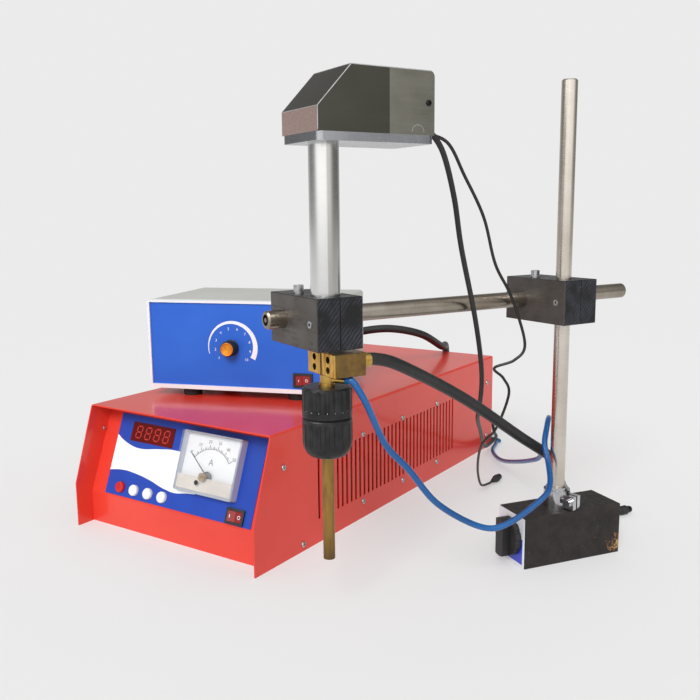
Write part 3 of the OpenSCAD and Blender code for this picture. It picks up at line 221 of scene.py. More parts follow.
def lathe(profile, place, steps=48):
    """Turns a profile of (radius, height) once round the seat's out axis: r cos a, r sin a, h."""
    radius, height = np.array(profile, float).T
    a = np.linspace(0, 2 * math.pi, steps, endpoint=False)
    r, h = radius[:, None], height[:, None]
    return place(r * np.cos(a), r * np.sin(a), h + 0 * a), grid_faces(len(radius), steps)


def bar_faces(count):
    """The faces of a bar that is a row of so many four-point rings, with its two ends closed."""
    return grid_faces(count, 4) + [[0, 1, 2, 3], [4 * count - 4 + k for k in (3, 2, 1, 0)]]


def bar(one, other, place, low, high):
    """A flat bar between two edges given as (a, b) points, from the height low to high."""
    one, other = np.array(one, float), np.array(other, float)
    edges = ((one, low), (other, low), (other, high), (one, high))
    return np.stack([place(e[:, 0], e[:, 1], h) for e, h in edges], 1), bar_faces(len(one))


def arc(centre, radius, start, end, steps=24):
    """Points on a circle from one angle to another, in degrees from straight up, clockwise."""
    a = np.radians(np.linspace(start, end, steps))
    return np.stack([centre[0] + radius * np.sin(a), centre[1] + radius * np.cos(a)], -1)


def tick(centre, inner, outer, angle, width, place, low, high):
    """A straight mark of a dial, from an inner to an outer radius at one angle."""
    a = math.radians(angle)
    along, across = np.array([math.sin(a), math.cos(a)]), np.array([math.cos(a), -math.sin(a)])
    ends = np.array([centre + along * inner, centre + along * outer])
    return bar(ends - across * width / 2, ends + across * width / 2, place, low, high)


# %% [markdown]
# ## The routes of the cables and hoses
#
# Five soft lines leave the machine. A thick black cable feeds the brass clamp, two thinner ones
# come from the motor cover, a blue hose brings water to the nozzle, and a black one draws it from a
# bucket. Each is a list of given places, joined by a smooth curve, and the frame holds the same
# places. The lines cross the joints of the stand, so each is cut into consecutive pieces, and each
# piece lies between the two bodies on either side of one joint.

# %% Routes
cable_d, motor_cable_d, sensor_cable_d, hose_d, pump_hose_d = 11.0, 5.0, 3.0, 6.0, 11.0
lug_x, lug_y, lug_z = 30.0, -12.0, 235.5
gland_z, motor_gland_y, sensor_gland_y, cover_back = 427.0, -21.0, -8.0, 90.0
inside_cover, outside_cover = 7.0, 1.5
barb_reach, barb_turn, barb_z = 18.0, math.radians(-55), 220.0
pump_fitting_y, hose_fitting_x, suction_fitting_x, fitting_z = 100.0, 18.0, 62.0, 34.0


def spot(place, a, b, c):
    """A point of a seat in millimetres of the shared frame."""
    return tuple(place(a, b, c) / mm)


def from_cover(y):
    """The first two places of a cable: inside the motor cover's back wall, and just outside it."""
    return [spot(column, cover_back - inside_cover, y, gland_z),
            spot(column, cover_back + outside_cover, y, gland_z)]


def from_barb(reach):
    return spot(column, reach * math.cos(barb_turn), reach * math.sin(barb_turn), barb_z)


electrode_cable_route = [
    spot(column, lug_x, lug_y, lug_z), spot(column, lug_x + cable_d, lug_y, lug_z),
    (286, -255, 226), (305, -170, 183), (331, -92, 131), (351, -40, 94), (351, -14, 60),
    (354, 12, 26), (364, 38, 8), (375, 56, 6), (386, 74, 6)]
motor_cable_route = [
    *from_cover(motor_gland_y),
    (310, -224, 410), (309, -200, 372), (306, -178, 326), (302, -136, 252), (289, -92, 193),
    (273, -60, 151), (252, -20, 123), (219, 60, 86), (170, 178, 32), (151, 232, 13),
    (142, 285, 12.5), (122, 324, 9), (110, 342, 21), (110, 333, 35), (110, 314, 36)]
sensor_cable_route = [
    *from_cover(sensor_gland_y),
    (306, -209, 420), (311, -184, 392), (317, -154, 354), (319, -130, 309), (324, -100, 274),
    (328, -72, 224), (318, -74, 206), (297, -78, 196), (300, -60, 182), (301, -47, 162),
    (280, -32, 117), (252, -8, 88), (228, 34, 46), (217, 68, 12), (216, 94, 5.3), (216, 106, 5.3)]
water_hose_route = [
    from_barb(barb_reach), from_barb(barb_reach + hose_d),
    (278, -300, 200), (282, -275, 158), (294, -255, 132), (311, -230, 95), (336, -190, 65),
    (353, -165, 64), (371, -124, 80), (371, -104, 89), (361, -82, 102), (351, -68, 119),
    (347, -52, 133), (342, -34, 138), (334, -14, 128), (305, 48, 72), (278, 82, 50), (206, 166, 16),
    (160, 234, 5), (143, 284, 4.5), (130, 300, 4.5), (0, 301, 4.5), (-98, 300, 5.5),
    (-121, 295, 30), (-121, 294, 126), (-116, 284, 149), (-64, 120, 152), (-56, 70, 176),
    spot(pump, hose_fitting_x, pump_fitting_y + hose_d, fitting_z),
    spot(pump, hose_fitting_x, pump_fitting_y, fitting_z)]
pump_hose_route = [
    spot(pump, suction_fitting_x, pump_fitting_y, fitting_z),
    spot(pump, suction_fitting_x, pump_fitting_y + pump_hose_d, fitting_z),
    (8, 96, 191), (40, 134, 194), (67, 180, 182), (66, 246, 155), (50, 292, 146), (45, 304, 96),
    (44, 308, 44), (34, 320, 12), (10, 338, 6.2), (-34, 348, 6.2)]


def smooth_line(route, per=10):
    """A curve through the places: on each stretch the cubic whose slopes are half the step between
    the neighbours before and after."""
    p = np.array(route, float)
    p = np.concatenate([p[:1], p, p[-1:]])
    a, b, c, d = (p[k:len(p) - 3 + k, None] for k in range(4))
    t = np.linspace(0, 1, per, endpoint=False)[None, :, None]
    square, cube = 2 * a - 5 * b + 4 * c - d, 3 * b - a - 3 * c + d
    line = 0.5 * (2 * b + (c - a) * t + square * t**2 + cube * t**3)
    return np.concatenate([line.reshape(-1, 3), p[-1:]])


def line_length(line):
    return float(np.linalg.norm(np.diff(line, axis=0), axis=1).sum())


def even_line(line, step):
    """The same curve with points at even steps of about the given length."""
    run = np.concatenate([[0], np.linalg.norm(np.diff(line, axis=0), axis=1).cumsum()])
    at = np.linspace(0, run[-1], max(3, int(round(run[-1] / step)) + 1))
    return np.stack([np.interp(at, run, line[:, k]) for k in range(3)], -1)


for cord_name, cord_route in (
        ("electrode cable", electrode_cable_route), ("motor cable", motor_cable_route),
        ("sensor cable", sensor_cable_route), ("water hose", water_hose_route),
        ("suction hose", pump_hose_route)):
    print(cord_name, "is", round(line_length(smooth_line(cord_route))), "mm long")

# %% [markdown]
# ## Tubes that follow a line
#
# A cable's skin is a circle carried along its line. The circle must not twist on the way, so each
# ring's side direction is the last one's, with the part that points along the line taken out. Each
# end is closed by a ring of no width, whose points are welded into one.

# %% Sweeping a tube
tube_sides = 20
upright = 0.9


def ring_frames(line):
    """Directions along a line, and two sides at each point that turn as little as they can."""
    along = np.gradient(line, axis=0)
    along /= np.linalg.norm(along, axis=1)[:, None]
    side = np.cross(along[0], Z if abs(along[0][2]) < upright else [1.0, 0, 0])
    sides = []
    for t in along:
        side = side - (side @ t) * t
        side = side / np.linalg.norm(side)
        sides.append(side)
    sides = np.array(sides)
    return along, sides, np.cross(along, sides)


def tube(line, radius, sides=tube_sides):
    """A tube with closed ends: p(i, a) = line(i) + r (cos a side + sin a other side)."""
    along, s, o = ring_frames(line)
    a = np.linspace(0, 2 * math.pi, sides, endpoint=False)[None, :, None]
    body_rings = line[:, None] + radius * (np.cos(a) * s[:, None] + np.sin(a) * o[:, None])
    ends = [line[:1, None] + 0 * body_rings[:1], line[-1:, None] + 0 * body_rings[:1]]
    rings = np.concatenate([ends[0], body_rings, ends[1]])
    return rings * mm, grid_faces(len(rings), sides)


def cut_line(line, shares):
    """Cuts a line at shares of its length into consecutive lines that meet end to end."""
    marks = [int(round(s * (len(line) - 1))) for s in (0, *shares, 1)]
    return [line[a:b + 1] for a, b in zip(marks[:-1], marks[1:])]


def lay_cord(name, route, diameter, finish, chain, shares, node):
    """Lays a cord over the bodies of a chain: the piece between two of them lies across their
    joint, and what is left after the last body rides on it."""
    line = even_line(smooth_line(route), diameter / 2.2)
    stretches = cut_line(line, shares)
    pairs = list(zip(chain[:-1], chain[1:]))
    pairs += [(chain[-1], chain[-1])] * (len(stretches) - len(pairs))
    for k, (stretch, (a, b)) in enumerate(zip(stretches, pairs)):
        last = k == len(stretches) - 1
        piece = make_piece(f"{name}_{k + 1}", tube(stretch, diameter / 2), finish)
        if a == b:
            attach(piece, a)
        else:
            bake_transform(piece)
        if last:
            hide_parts(node)
        line_length(stretch) * mm

# %% [markdown]
# ## Finishes
#
# A finish starts from a base colour and is brought to life by two patterns: large soft patches,
# where handling and dirt change the colour a little, and a fine grain, which changes how rough the
# surface is and lifts it by a few hundredths of a millimetre at most. Both read Object coordinates,
# which are the machine's own, so they stay put when the camera moves. Stretching the grain along
# one direction turns it into the lines that turning, brushing or milling leaves.

# %% The painter's helpers
def seen(red, green, blue):
    """A colour as a screen shows it, from 0 to 255, turned into the linear light a shader wants."""
    c = np.array([red, green, blue]) / 255.0
    linear = np.where(c <= 0.04045, c / 12.92, ((c + 0.055) / 1.055) ** 2.4)
    return (*linear.tolist(), 1.0)


def add(tree, kind, inputs=None, **settings):
    """Adds a shader node, sets its options, and fills or links its sockets."""
    node = tree.nodes.new("ShaderNode" + kind)
    for key, value in settings.items():
        setattr(node, key, value)
    for key, value in (inputs or {}).items():
        if isinstance(value, bpy.types.NodeSocket):
            tree.links.new(value, node.inputs[key])
        else:
            node.inputs[key].default_value = value
    return node


def start_finish(name, **sockets):
    """A new material, kept under its name; sockets of its shader are given with _ for a blank."""
    material = finishes[name] = bpy.data.materials.new(name)
    material.use_nodes = True
    shader = material.node_tree.nodes["Principled BSDF"]
    for key, value in sockets.items():
        shader.inputs[key.replace("_", " ")].default_value = value
    return material.node_tree, shader


def vector(tree, operation, a, b):
    return add(tree, "VectorMath", {0: a, 1: tuple(b)}, operation=operation).outputs


def object_place(tree, stretch=(1, 1, 1), turned=0.0):
    """Object coordinates, turned back about Z and then stretched."""
    where = add(tree, "TexCoord").outputs["Object"]
    turn = {"Vector": where, "Rotation": (0, 0, -math.radians(turned))}
    turned_back = add(tree, "Mapping", turn).outputs[0]
    return add(tree, "Mapping", {"Vector": turned_back, "Scale": tuple(stretch)}).outputs[0]


def noise(tree, where, scale, detail=4.0, rough=0.55, warp=0.0):
    inputs = {"Vector": where, "Scale": scale, "Detail": detail, "Roughness": rough,
              "Distortion": warp}
    return add(tree, "TexNoise", inputs).outputs["Fac"]


def ramp(tree, value, low, high, to_low=0.0, to_high=1.0):
    """Carries a value from one range to another and clamps it."""
    inputs = {"Value": value, "From Min": low, "From Max": high, "To Min": to_low,
              "To Max": to_high}
    return add(tree, "MapRange", inputs).outputs[0]


def mix(tree, share, one, other, kind="RGBA"):
    """one (1 - share) + other share, for colours, or for numbers where the kind is FLOAT."""
    first, second, out = {"RGBA": (6, 7, 2), "FLOAT": (2, 3, 0)}[kind]
    return add(tree, "Mix", {0: share, first: one, second: other}, data_type=kind).outputs[out]


def patchy(tree, where, scale, one, other, detail=4.0, limits=None):
    """Two colours in patches of a noise; outside the limits of its value each of them is pure."""
    share = noise(tree, where, scale, detail)
    if limits:
        share = ramp(tree, share, *limits)
    return mix(tree, share, seen(*one), seen(*other))


def calc(tree, operation, a, b=0.0):
    return add(tree, "Math", {0: a, 1: b}, operation=operation).outputs[0]


def measure(tree, origin, direction):
    """How far a point lies from an origin along a direction, in metres."""
    moved = vector(tree, "SUBTRACT", add(tree, "TexCoord").outputs["Object"], origin)[0]
    return vector(tree, "DOT_PRODUCT", moved, direction)["Value"]


def away(tree, point):
    """How far the surface lies from a point, in metres."""
    return vector(tree, "DISTANCE", add(tree, "TexCoord").outputs["Object"], point)["Value"]


def facing(tree, direction, least=0.7):
    """1 on faces that look along a direction of the machine, 0 elsewhere."""
    normal = add(tree, "TexCoord").outputs["Normal"]
    dot = vector(tree, "DOT_PRODUCT", normal, direction)["Value"]
    return ramp(tree, dot, least - 0.05, least + 0.05)


def curve_over(tree, value, stops):
    """A smooth curve through a few (value, result) stops from 0 to 1, as a node."""
    node = add(tree, "FloatCurve", {"Value": value})
    points = node.mapping.curves[0].points
    points[0].location, points[1].location = stops[0], stops[-1]
    for stop in stops[1:-1]:
        points.new(*stop)
    node.mapping.update()
    return node.outputs[0]


def colour_from(tree, shader, socket):
    tree.links.new(socket, shader.inputs["Base Color"])


def grain(tree, shader, height, depth, roughness, spread):
    """One pattern lifts the surface by a depth in metres and moves its roughness by a spread."""
    least, most = max(roughness - spread, 0.02), min(roughness + spread, 1.0)
    rough = ramp(tree, height, 0.3, 0.7, least, most)
    tree.links.new(rough, shader.inputs["Roughness"])
    bump = add(tree, "Bump", {"Height": height, "Distance": depth, "Strength": 1.0})
    tree.links.new(bump.outputs[0], shader.inputs["Normal"])


def make_finishes(table):
    """The usual finish, for each row of a table: two colours in soft patches, and a grain. The last
    entry of a row holds the grain's stretch and turn, and the shader's other sockets."""
    for name, (colour, other, patches, grains, depth, roughness, spread, more) in table.items():
        sockets = dict(more)
        stretch, turned = sockets.pop("stretch", (1, 1, 1)), sockets.pop("turned", 0.0)
        tree, shader = start_finish(name, **sockets)
        patched = patchy(tree, object_place(tree), patches, colour, other, 5.0, (0.35, 0.68))
        colour_from(tree, shader, patched)
        lines = noise(tree, object_place(tree, stretch, turned), grains, 5.0)
        grain(tree, shader, lines, depth, roughness, spread)
    print("finishes so far:", len(finishes))


# %% [markdown]
# ## Paint, plastic and rubber
#
# The power case is sheet steel under glossy red enamel. Enamel levels itself almost flat, and only
# a long soft ripple stays, so its grain is coarse and a clear coat lies over it. The pump is in
# pale powder paint, whose grain is fine. Plastics are duller, and rubber is nearly matt.

# %% Paints and plastics
# name: colour, other colour, patches and grains to a metre, grain depth, roughness and spread, more
make_finishes({
    "red_paint": ((230, 66, 50), (220, 58, 44), 9, 12, 2e-6, 0.3, 0.02,
                  {"Coat_Weight": 0.3, "Coat_Roughness": 0.1, "Specular_IOR_Level": 0.35}),
    "grey_paint": ((196, 197, 190), (186, 187, 181), 12, 900, 2e-5, 0.42, 0.05,
                   {"Coat_Weight": 0.15}),
    "white_paint": ((236, 237, 240), (226, 228, 232), 14, 900, 2e-5, 0.4, 0.05,
                    {"Coat_Weight": 0.15}),
    "blue_film": ((46, 104, 208), (38, 94, 198), 10, 1400, 6e-6, 0.36, 0.04,
                  {"Specular_IOR_Level": 0.3}),
    "black_plastic": ((26, 26, 28), (34, 34, 36), 30, 1500, 2e-5, 0.42, 0.06, {}),
    "knob_black": ((22, 21, 22), (32, 31, 31), 40, 1100, 3e-5, 0.5, 0.08, {}),
    "white_plastic": ((242, 242, 240), (232, 232, 228), 60, 1500, 5e-6, 0.3, 0.05, {}),
    "red_plastic": ((214, 34, 34), (196, 26, 28), 60, 1500, 5e-6, 0.28, 0.05, {}),
    "foot_rubber": ((24, 24, 25), (36, 35, 34), 50, 1200, 6e-5, 0.75, 0.08, {}),
    "cable_black": ((19, 19, 21), (33, 32, 32), 24, 800, 3e-5, 0.46, 0.08, {}),
    "meter_case": ((196, 203, 214), (182, 190, 204), 40, 1500, 4e-6, 0.14, 0.03,
                   {"Coat_Weight": 0.4}),
    "dial_white": ((240, 242, 243), (232, 235, 238), 30, 2500, 3e-6, 0.55, 0.05, {}),
    "print_white": ((240, 242, 246), (230, 233, 240), 60, 2500, 2e-6, 0.4, 0.05, {}),
    "print_grey": ((104, 108, 116), (92, 96, 104), 60, 2500, 2e-6, 0.5, 0.05, {}),
    "board_green": ((28, 84, 52), (22, 70, 44), 60, 900, 2e-5, 0.4, 0.08, {}),
    "motor_grey": ((84, 88, 94), (70, 74, 80), 30, 1200, 5e-5, 0.55, 0.08, {})})

# %% [markdown]
# ## Vinyl, windows with a painted glow, and clear covers
#
# The water hose is soft vinyl under a thin clear coat, which gives it a narrow bright line. The
# number display is a dark red window with a smooth face. Its digits and the two rockers are given a
# painted glow, a little light of their own. The meter's cover is clear, with a faint smudge that
# only changes how sharply it mirrors.

# %% Hose, display and cover finishes
make_finishes({
    "hose_blue": ((14, 94, 160), (8, 76, 138), 18, 500, 1e-5, 0.24, 0.05,
                  {"Coat_Weight": 0.45, "Coat_Roughness": 0.05, "Specular_IOR_Level": 0.3}),
    "display_red": ((104, 12, 12), (90, 9, 10), 40, 1500, 2e-6, 0.16, 0.03,
                    {"Specular_IOR_Level": 0.25}),
    "clear_brown": ((176, 158, 136), (150, 132, 110), 90, 900, 5e-6, 0.16, 0.05,
                    {"Coat_Weight": 0.5, "Subsurface_Weight": 0.2}),
    "frosted": ((214, 206, 196), (200, 192, 184), 60, 900, 8e-6, 0.4, 0.06, {})})


def lit_finish(name, bright, dull, patches, glow, strength, **sockets):
    """Plastic with a painted glow: two colours in patches, and a little light of its own."""
    tree, shader = start_finish(name, Emission_Color=seen(*glow), Emission_Strength=strength,
                                **sockets)
    colour_from(tree, shader, patchy(tree, object_place(tree), patches, bright, dull))


# The digits and the rockers give off a little light: a painted glow.
lit_finish("digit_red", (186, 50, 38), (160, 34, 26), 300, (220, 60, 40), 0.10, Roughness=0.3,
           Base_Color=seen(178, 42, 32))
lit_finish("rocker_red", (150, 14, 13), (116, 9, 9), 120, (160, 10, 8), 0.08, Roughness=0.2,
           Coat_Weight=0.4)

tree, shader = start_finish("clear_cover", Base_Color=(0.9, 0.93, 0.96, 1), IOR=1.49, Alpha=0.09,
                            Specular_IOR_Level=0.8)
smudge = ramp(tree, noise(tree, object_place(tree), 90, 6.0), 0.3, 0.8, 0.03, 0.14)
tree.links.new(smudge, shader.inputs["Roughness"])
print("finishes so far:", len(finishes))

# %% [markdown]
# ## Steel, brass and aluminium
#
# Metals show what stands round them, so their colour is only the tint of their reflections. What
# tells one from another is the grain. A turned rod has rings, which come from a noise squeezed
# along its length. A ground sheet has long lines. Cast or blackened steel has none, and looks
# mottled.

# %% Metals
rings_up = {"stretch": (1, 1, 60), "Metallic": 1.0}
make_finishes({
    "post_steel": ((214, 206, 196), (188, 178, 166), 16, 30, 2e-6, 0.26, 0.03, rings_up),
    "rod_steel": ((166, 158, 146), (134, 122, 108), 20, 30, 3e-6, 0.3, 0.04,
                  {"stretch": (60, 1, 1), "turned": arm_turn, "Metallic": 1.0}),
    "ground_steel": ((226, 226, 224), (204, 204, 202), 14, 25, 4e-6, 0.2, 0.05, rings_up),
    "bright_steel": ((205, 206, 208), (176, 176, 178), 60, 400, 1e-5, 0.16, 0.07,
                     {"Metallic": 1.0}),
    "plate_steel": ((170, 172, 176), (142, 144, 148), 20, 700, 6e-6, 0.24, 0.06, {"Metallic": 1.0}),
    "zinc_steel": ((196, 198, 200), (166, 166, 164), 200, 900, 2e-5, 0.3, 0.1, {"Metallic": 1.0}),
    "core_steel": ((92, 88, 84), (70, 64, 60), 40, 12, 6e-5, 0.45, 0.1,
                   {"stretch": (1, 120, 1), "Metallic": 0.6}),
    "fitting_brass": ((206, 172, 96), (180, 142, 70), 90, 700, 2e-5, 0.28, 0.1, {"Metallic": 1.0}),
    "knob_gold": ((232, 150, 30), (200, 112, 18), 180, 1500, 1.5e-5, 0.3, 0.08,
                  {"Metallic": 0.65, "Coat_Weight": 0.3}),
    "black_steel": ((30, 29, 30), (44, 42, 42), 60, 900, 2e-5, 0.34, 0.08, {"Metallic": 0.7}),
    "chuck_black": ((30, 30, 32), (50, 49, 48), 90, 1300, 5e-5, 0.4, 0.1, {"Metallic": 0.55})})

# %% [markdown]
# ## The column's two halves
#
# The tube that carries the feed head is ground bright, and mirrors the room round it: the light
# window on its left half and a dark wall on its right half. The stage has no wall, so the metal
# itself is given a darker tint on the side that would face it.

# %% Column finish
dark_from = 0.21
tree, shader = start_finish("column_steel", Metallic=1.0)
bright_half = patchy(tree, object_place(tree), 14, (228, 228, 226), (212, 212, 210), 5.0)
dark_half = patchy(tree, object_place(tree), 14, (188, 187, 183), (172, 171, 167), 5.0)
colour_from(tree, shader, mix(tree, facing(tree, right, dark_from), bright_half, dark_half))
grain(tree, shader, noise(tree, object_place(tree, rings_up["stretch"]), 25, 5.0), 4e-6, 0.2, 0.05)
print("finishes so far:", len(finishes))

# %% [markdown]
# ## Brass that was sawn, and a tube that was used
#
# The clamp was cut from bar and never polished. Its front is gold with milling streaks, made
# lighter as a painted highlight, and its sides are a dull brown, painted shade. One finish does
# both, with the object's own normal choosing between them. The tube electrode is brass too, but it
# has
# been in the sparks: tan, streaked along its length, and darker at its burnt tip.

# %% Brass clamp and electrode
tree, shader = start_finish("milled_brass", Metallic=0.85)
streaks = noise(tree, object_place(tree, (1, 1, 0.12)), 420, 5.0, warp=0.4)
# The front's lighter gold is a painted highlight, and the sides' dull brown is painted shade.
front = facing(tree, -arm_x, 0.6)
lit_gold = mix(tree, ramp(tree, streaks, 0.35, 0.65), seen(226, 184, 92), seen(176, 124, 50))
shaded_brown = patchy(tree, object_place(tree), 130, (136, 106, 60), (98, 78, 46), 6.0, (0.3, 0.7))
colour_from(tree, shader, mix(tree, front, shaded_brown, lit_gold))
grain(tree, shader, streaks, 4e-5, 0.36, 0.12)

burnt_length, most_burnt = 0.022, 0.85
tree, shader = start_finish("electrode_brass", Metallic=0.8)
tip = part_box("electrode")[0].z
burnt = ramp(tree, measure(tree, (0, 0, tip), Z), 0.0, burnt_length, most_burnt, 0.0)
long_patches = object_place(tree, (1, 1, 0.2))
worn = patchy(tree, long_patches, 160, (168, 132, 66), (126, 96, 50), 6.0, (0.3, 0.7))
colour_from(tree, shader, mix(tree, burnt, worn, seen(84, 66, 44)))
grain(tree, shader, noise(tree, object_place(tree, (1, 1, 0.1)), 500, 5.0), 3e-5, 0.36, 0.1)
print("finishes so far:", len(finishes))

# %% [markdown]
# ## Sheet steel of the motor cover
#
# The cover is folded from stainless sheet in two layers: behind an upright lap the side is lighter.
# The front face is a dusty pink, a painted reflection of the red case. The slope is a dark warm
# grey and the top a lighter grey, painted reflection and shade. The lap is made by a distance along
# the arm, and the painted reflections by the way a face looks. Fine lines along the sheet lie over
# all of them.

# %% Cover sheet
lap_at, lap_blur = 45.0 * mm, 0.2 * mm
nose_slope = np.array([-0.73, 0.0, 0.68])
slope_out = arm_x * nose_slope[0] + Z * nose_slope[2]
tree, shader = start_finish("polished_sheet", Metallic=0.92)
run = measure(tree, column(0, 0, 0), arm_x)
lap = ramp(tree, run, lap_at - lap_blur, lap_at + lap_blur)
cloud = ramp(tree, noise(tree, object_place(tree, (0.5, 1, 1), arm_turn), 22, 6.0), 0.3, 0.72)
side = mix(tree, lap, seen(84, 83, 75), seen(150, 148, 136))
side = mix(tree, calc(tree, "MULTIPLY", cloud, 0.55), side, seen(66, 64, 56))
# The front's pink is a painted reflection of the red case. The slope's dark grey and the top's
# lighter grey are painted reflection and shade.
painted_pink_front = mix(tree, facing(tree, -arm_x, 0.9), side, seen(236, 204, 194))
slope = mix(tree, facing(tree, slope_out, 0.85), painted_pink_front, seen(74, 69, 58))
colour_from(tree, shader, mix(tree, facing(tree, Z, 0.9), slope, seen(150, 146, 130)))
lines = noise(tree, object_place(tree, (0.03, 1, 1), arm_turn), 900, 3.0)
grain(tree, shader, lines, 3e-6, 0.22, 0.06)
print("finishes so far:", len(finishes))

# %% [markdown]
# ## Blackened blocks
#
# The two cross blocks were milled and then blackened. The cutter left slanting streaks on the near
# face, which catch the light as a lighter grey. The left face is smoother and browner. A wave
# pattern in the block's own directions, broken up by noise, draws the streaks.

# %% Block finish
streak_turn, streak_scale = math.radians(-40), 100.0
tree, shader = start_finish("block_black", Metallic=0.35)
where = object_place(tree, turned=arm_turn)
slanted = add(tree, "Mapping", {"Vector": where, "Rotation": (0, streak_turn, 0)}).outputs[0]
bent = {"Vector": slanted, "Scale": streak_scale, "Distortion": 3.0, "Detail": 3.0,
        "Detail Scale": 2.0}
wave = add(tree, "TexWave", bent, bands_direction="X").outputs["Fac"]
broken = calc(tree, "MULTIPLY", wave, ramp(tree, noise(tree, slanted, 60, 4.0), 0.4, 0.62))
on_near = calc(tree, "MULTIPLY", broken, facing(tree, -arm_y, 0.7))
streaked = mix(tree, on_near, seen(19, 19, 22), seen(60, 62, 72))
flat_face = patchy(tree, where, 40, (84, 79, 75), (66, 62, 58), 6.0, (0.3, 0.7))
colour_from(tree, shader, mix(tree, facing(tree, -arm_x, 0.7), streaked, flat_face))
grain(tree, shader, broken, 2e-5, 0.5, 0.12)
print("finishes so far:", len(finishes))

# %% [markdown]
# ## The magnet's box
#
# The base is a ground block with a brown-black skin that has been carried about: it has a few pale
# flecks, and at one lower corner the skin is knocked off to rust and bare yellow metal. The wear
# grows with the nearness to that corner, with a noise for its ragged border. The switch's end plate
# is blue with a white upper field and a white margin.

# %% Base finishes
base_half_l, base_half_w, knocked_z = 59.0, 24.0, 9.0
tree, shader = start_finish("base_black", Metallic=0.3)
skin = patchy(tree, object_place(tree), 70, (28, 23, 22), (46, 39, 36), 7.0, (0.35, 0.7))
knocked = away(tree, base(base_half_l, -base_half_w, knocked_z))
ragged = noise(tree, object_place(tree), 190, 6.0, 0.7)
wear = calc(tree, "SUBTRACT", ramp(tree, ragged, 0.42, 0.66), ramp(tree, knocked, 0.004, 0.026))
rust = mix(tree, ramp(tree, wear, 0.02, 0.12), skin, seen(104, 64, 40))
bare = mix(tree, ramp(tree, wear, 0.25, 0.4), rust, seen(176, 146, 96))
flecks = ramp(tree, noise(tree, object_place(tree), 260, 3.0), 0.71, 0.75)
colour_from(tree, shader, mix(tree, flecks, bare, seen(98, 82, 70)))
grain(tree, shader, ragged, 7e-5, 0.55, 0.12)

side_margin, low_margin, white_from, print_blur = 2.8 * mm, 4.3 * mm, 31.0 * mm, 0.1 * mm
blue_half = base_half_w * mm - side_margin
tree, shader = start_finish("plate_print", Roughness=0.35, Coat_Weight=0.2)
from_middle = calc(tree, "ABSOLUTE", measure(tree, base(0, 0, 0), base_dy))
height = measure(tree, (0, 0, 0), Z)
inside = ramp(tree, from_middle, blue_half - print_blur, blue_half, 1, 0)
above = ramp(tree, height, low_margin - print_blur, low_margin)
below = ramp(tree, height, white_from, white_from + print_blur, 1, 0)
blue_part = calc(tree, "MULTIPLY", calc(tree, "MULTIPLY", inside, above), below)
blue_tint = patchy(tree, object_place(tree), 200, (36, 62, 196), (28, 50, 176))
white_tint = patchy(tree, object_place(tree), 200, (232, 234, 240), (214, 218, 226))
colour_from(tree, shader, mix(tree, blue_part, white_tint, blue_tint))
print("finishes so far:", len(finishes))

# %% [markdown]
# ## Printed film on the panel
#
# The control panel carries a printed film: blue, with a white band that swings across it like a
# wave. The band could be cut as a separate sheet, but a print has no edge to feel, so two curves
# over the panel's width say where blue turns to white. All the shares run from 0 to 1 over the
# film's width or height.

# %% Overlay finish
overlay_left, overlay_right, overlay_low, overlay_high = -111.0, 111.0, 2.5, 97.5
band_top = [(0.0, 0.728), (0.095, 0.634), (0.176, 0.605), (0.315, 0.643), (0.419, 0.668),
            (0.595, 0.642), (1.0, 0.60)]
band_low = [(0.0, 0.283), (0.10, 0.314), (0.177, 0.306), (0.294, 0.267), (0.41, 0.205),
            (0.482, 0.188), (0.58, 0.219), (1.0, 0.26)]
band_end, print_edge = 0.62, 0.003
tree, shader = start_finish("overlay_film", Roughness=0.34, Specular_IOR_Level=0.3)
across = ramp(tree, measure(tree, (0, 0, 0), (1, 0, 0)), overlay_left * mm, overlay_right * mm)
up_slope = ramp(tree, measure(tree, panel(0, 0, 0), panel_up), overlay_low * mm, overlay_high * mm)
below_top = calc(tree, "SUBTRACT", curve_over(tree, across, band_top), up_slope)
above_low = calc(tree, "SUBTRACT", up_slope, curve_over(tree, across, band_low))
short_of_end = calc(tree, "SUBTRACT", band_end, across)
least = calc(tree, "MINIMUM", calc(tree, "MINIMUM", below_top, above_low), short_of_end)
film_blue = patchy(tree, object_place(tree), 30, (36, 76, 180), (30, 64, 164))
film_white = patchy(tree, object_place(tree), 30, (255, 255, 255), (250, 250, 252))
in_band = ramp(tree, least, -print_edge, print_edge)
colour_from(tree, shader, mix(tree, in_band, film_blue, film_white))
print("finishes so far:", len(finishes))

# %% [markdown]
# ## Dressing the frame's own pieces
#
# The frame's pieces keep their meshes. Each carries the name of its finish from its record. Most of
# those names are used above as they are, and a short table turns the others. A few pieces share a
# name but not a look, such as the post and the rod with their rings in different directions, so
# they are named by themselves.

# %% Finishes by slot
other_name = {"blue_panel": "blue_film", "knob_brass": "knob_gold", "plate_blue": "plate_print",
              "red_plastic": "rocker_red"}
by_node = {"post": "post_steel", "rod": "rod_steel", "column_tube": "column_steel",
           "cover_plate": "plate_steel", "button_start": "red_plastic",
           "meter_zero_screw": "clear_brown"}
for node_name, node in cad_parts.items():
    for index, old in enumerate(node.data.materials):
        slot_name = old.name.split(".")[0]
        chosen = by_node.get(node_name, other_name.get(slot_name, slot_name))
        node.data.materials[index] = finishes[chosen]
print("dressed", len(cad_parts), "pieces from", len(finishes), "finishes")

# %% [markdown]
# ## Laying the cables and hoses
#
# The head can slide along the arm, tilt and be fed down, and the arm can slide and swing on its
# post. A cable that hangs from the head has to give at each of those joints. One long bend over
# all of them can't be told to a joint, so the cable is cut in consecutive pieces, one to a joint.
# The pieces meet end to end, and the last one stands for the frame's plain tube.

# %% Plugs and glands at the ends
to_base = ["ram", "head", "arm", "clamp", "upright", "base"]
cover_to_base = to_base[1:]
on_axis = 1e-6


def end_seat(route):
    """A seat at the far end of a route, whose out axis points away from the cord."""
    tip, before = np.array(route[-1], float), np.array(route[-2], float)
    out = (tip - before) / np.linalg.norm(tip - before)
    across = np.cross(out, Z)
    across /= np.linalg.norm(across)
    return seat(tip, across, np.cross(out, across), out)


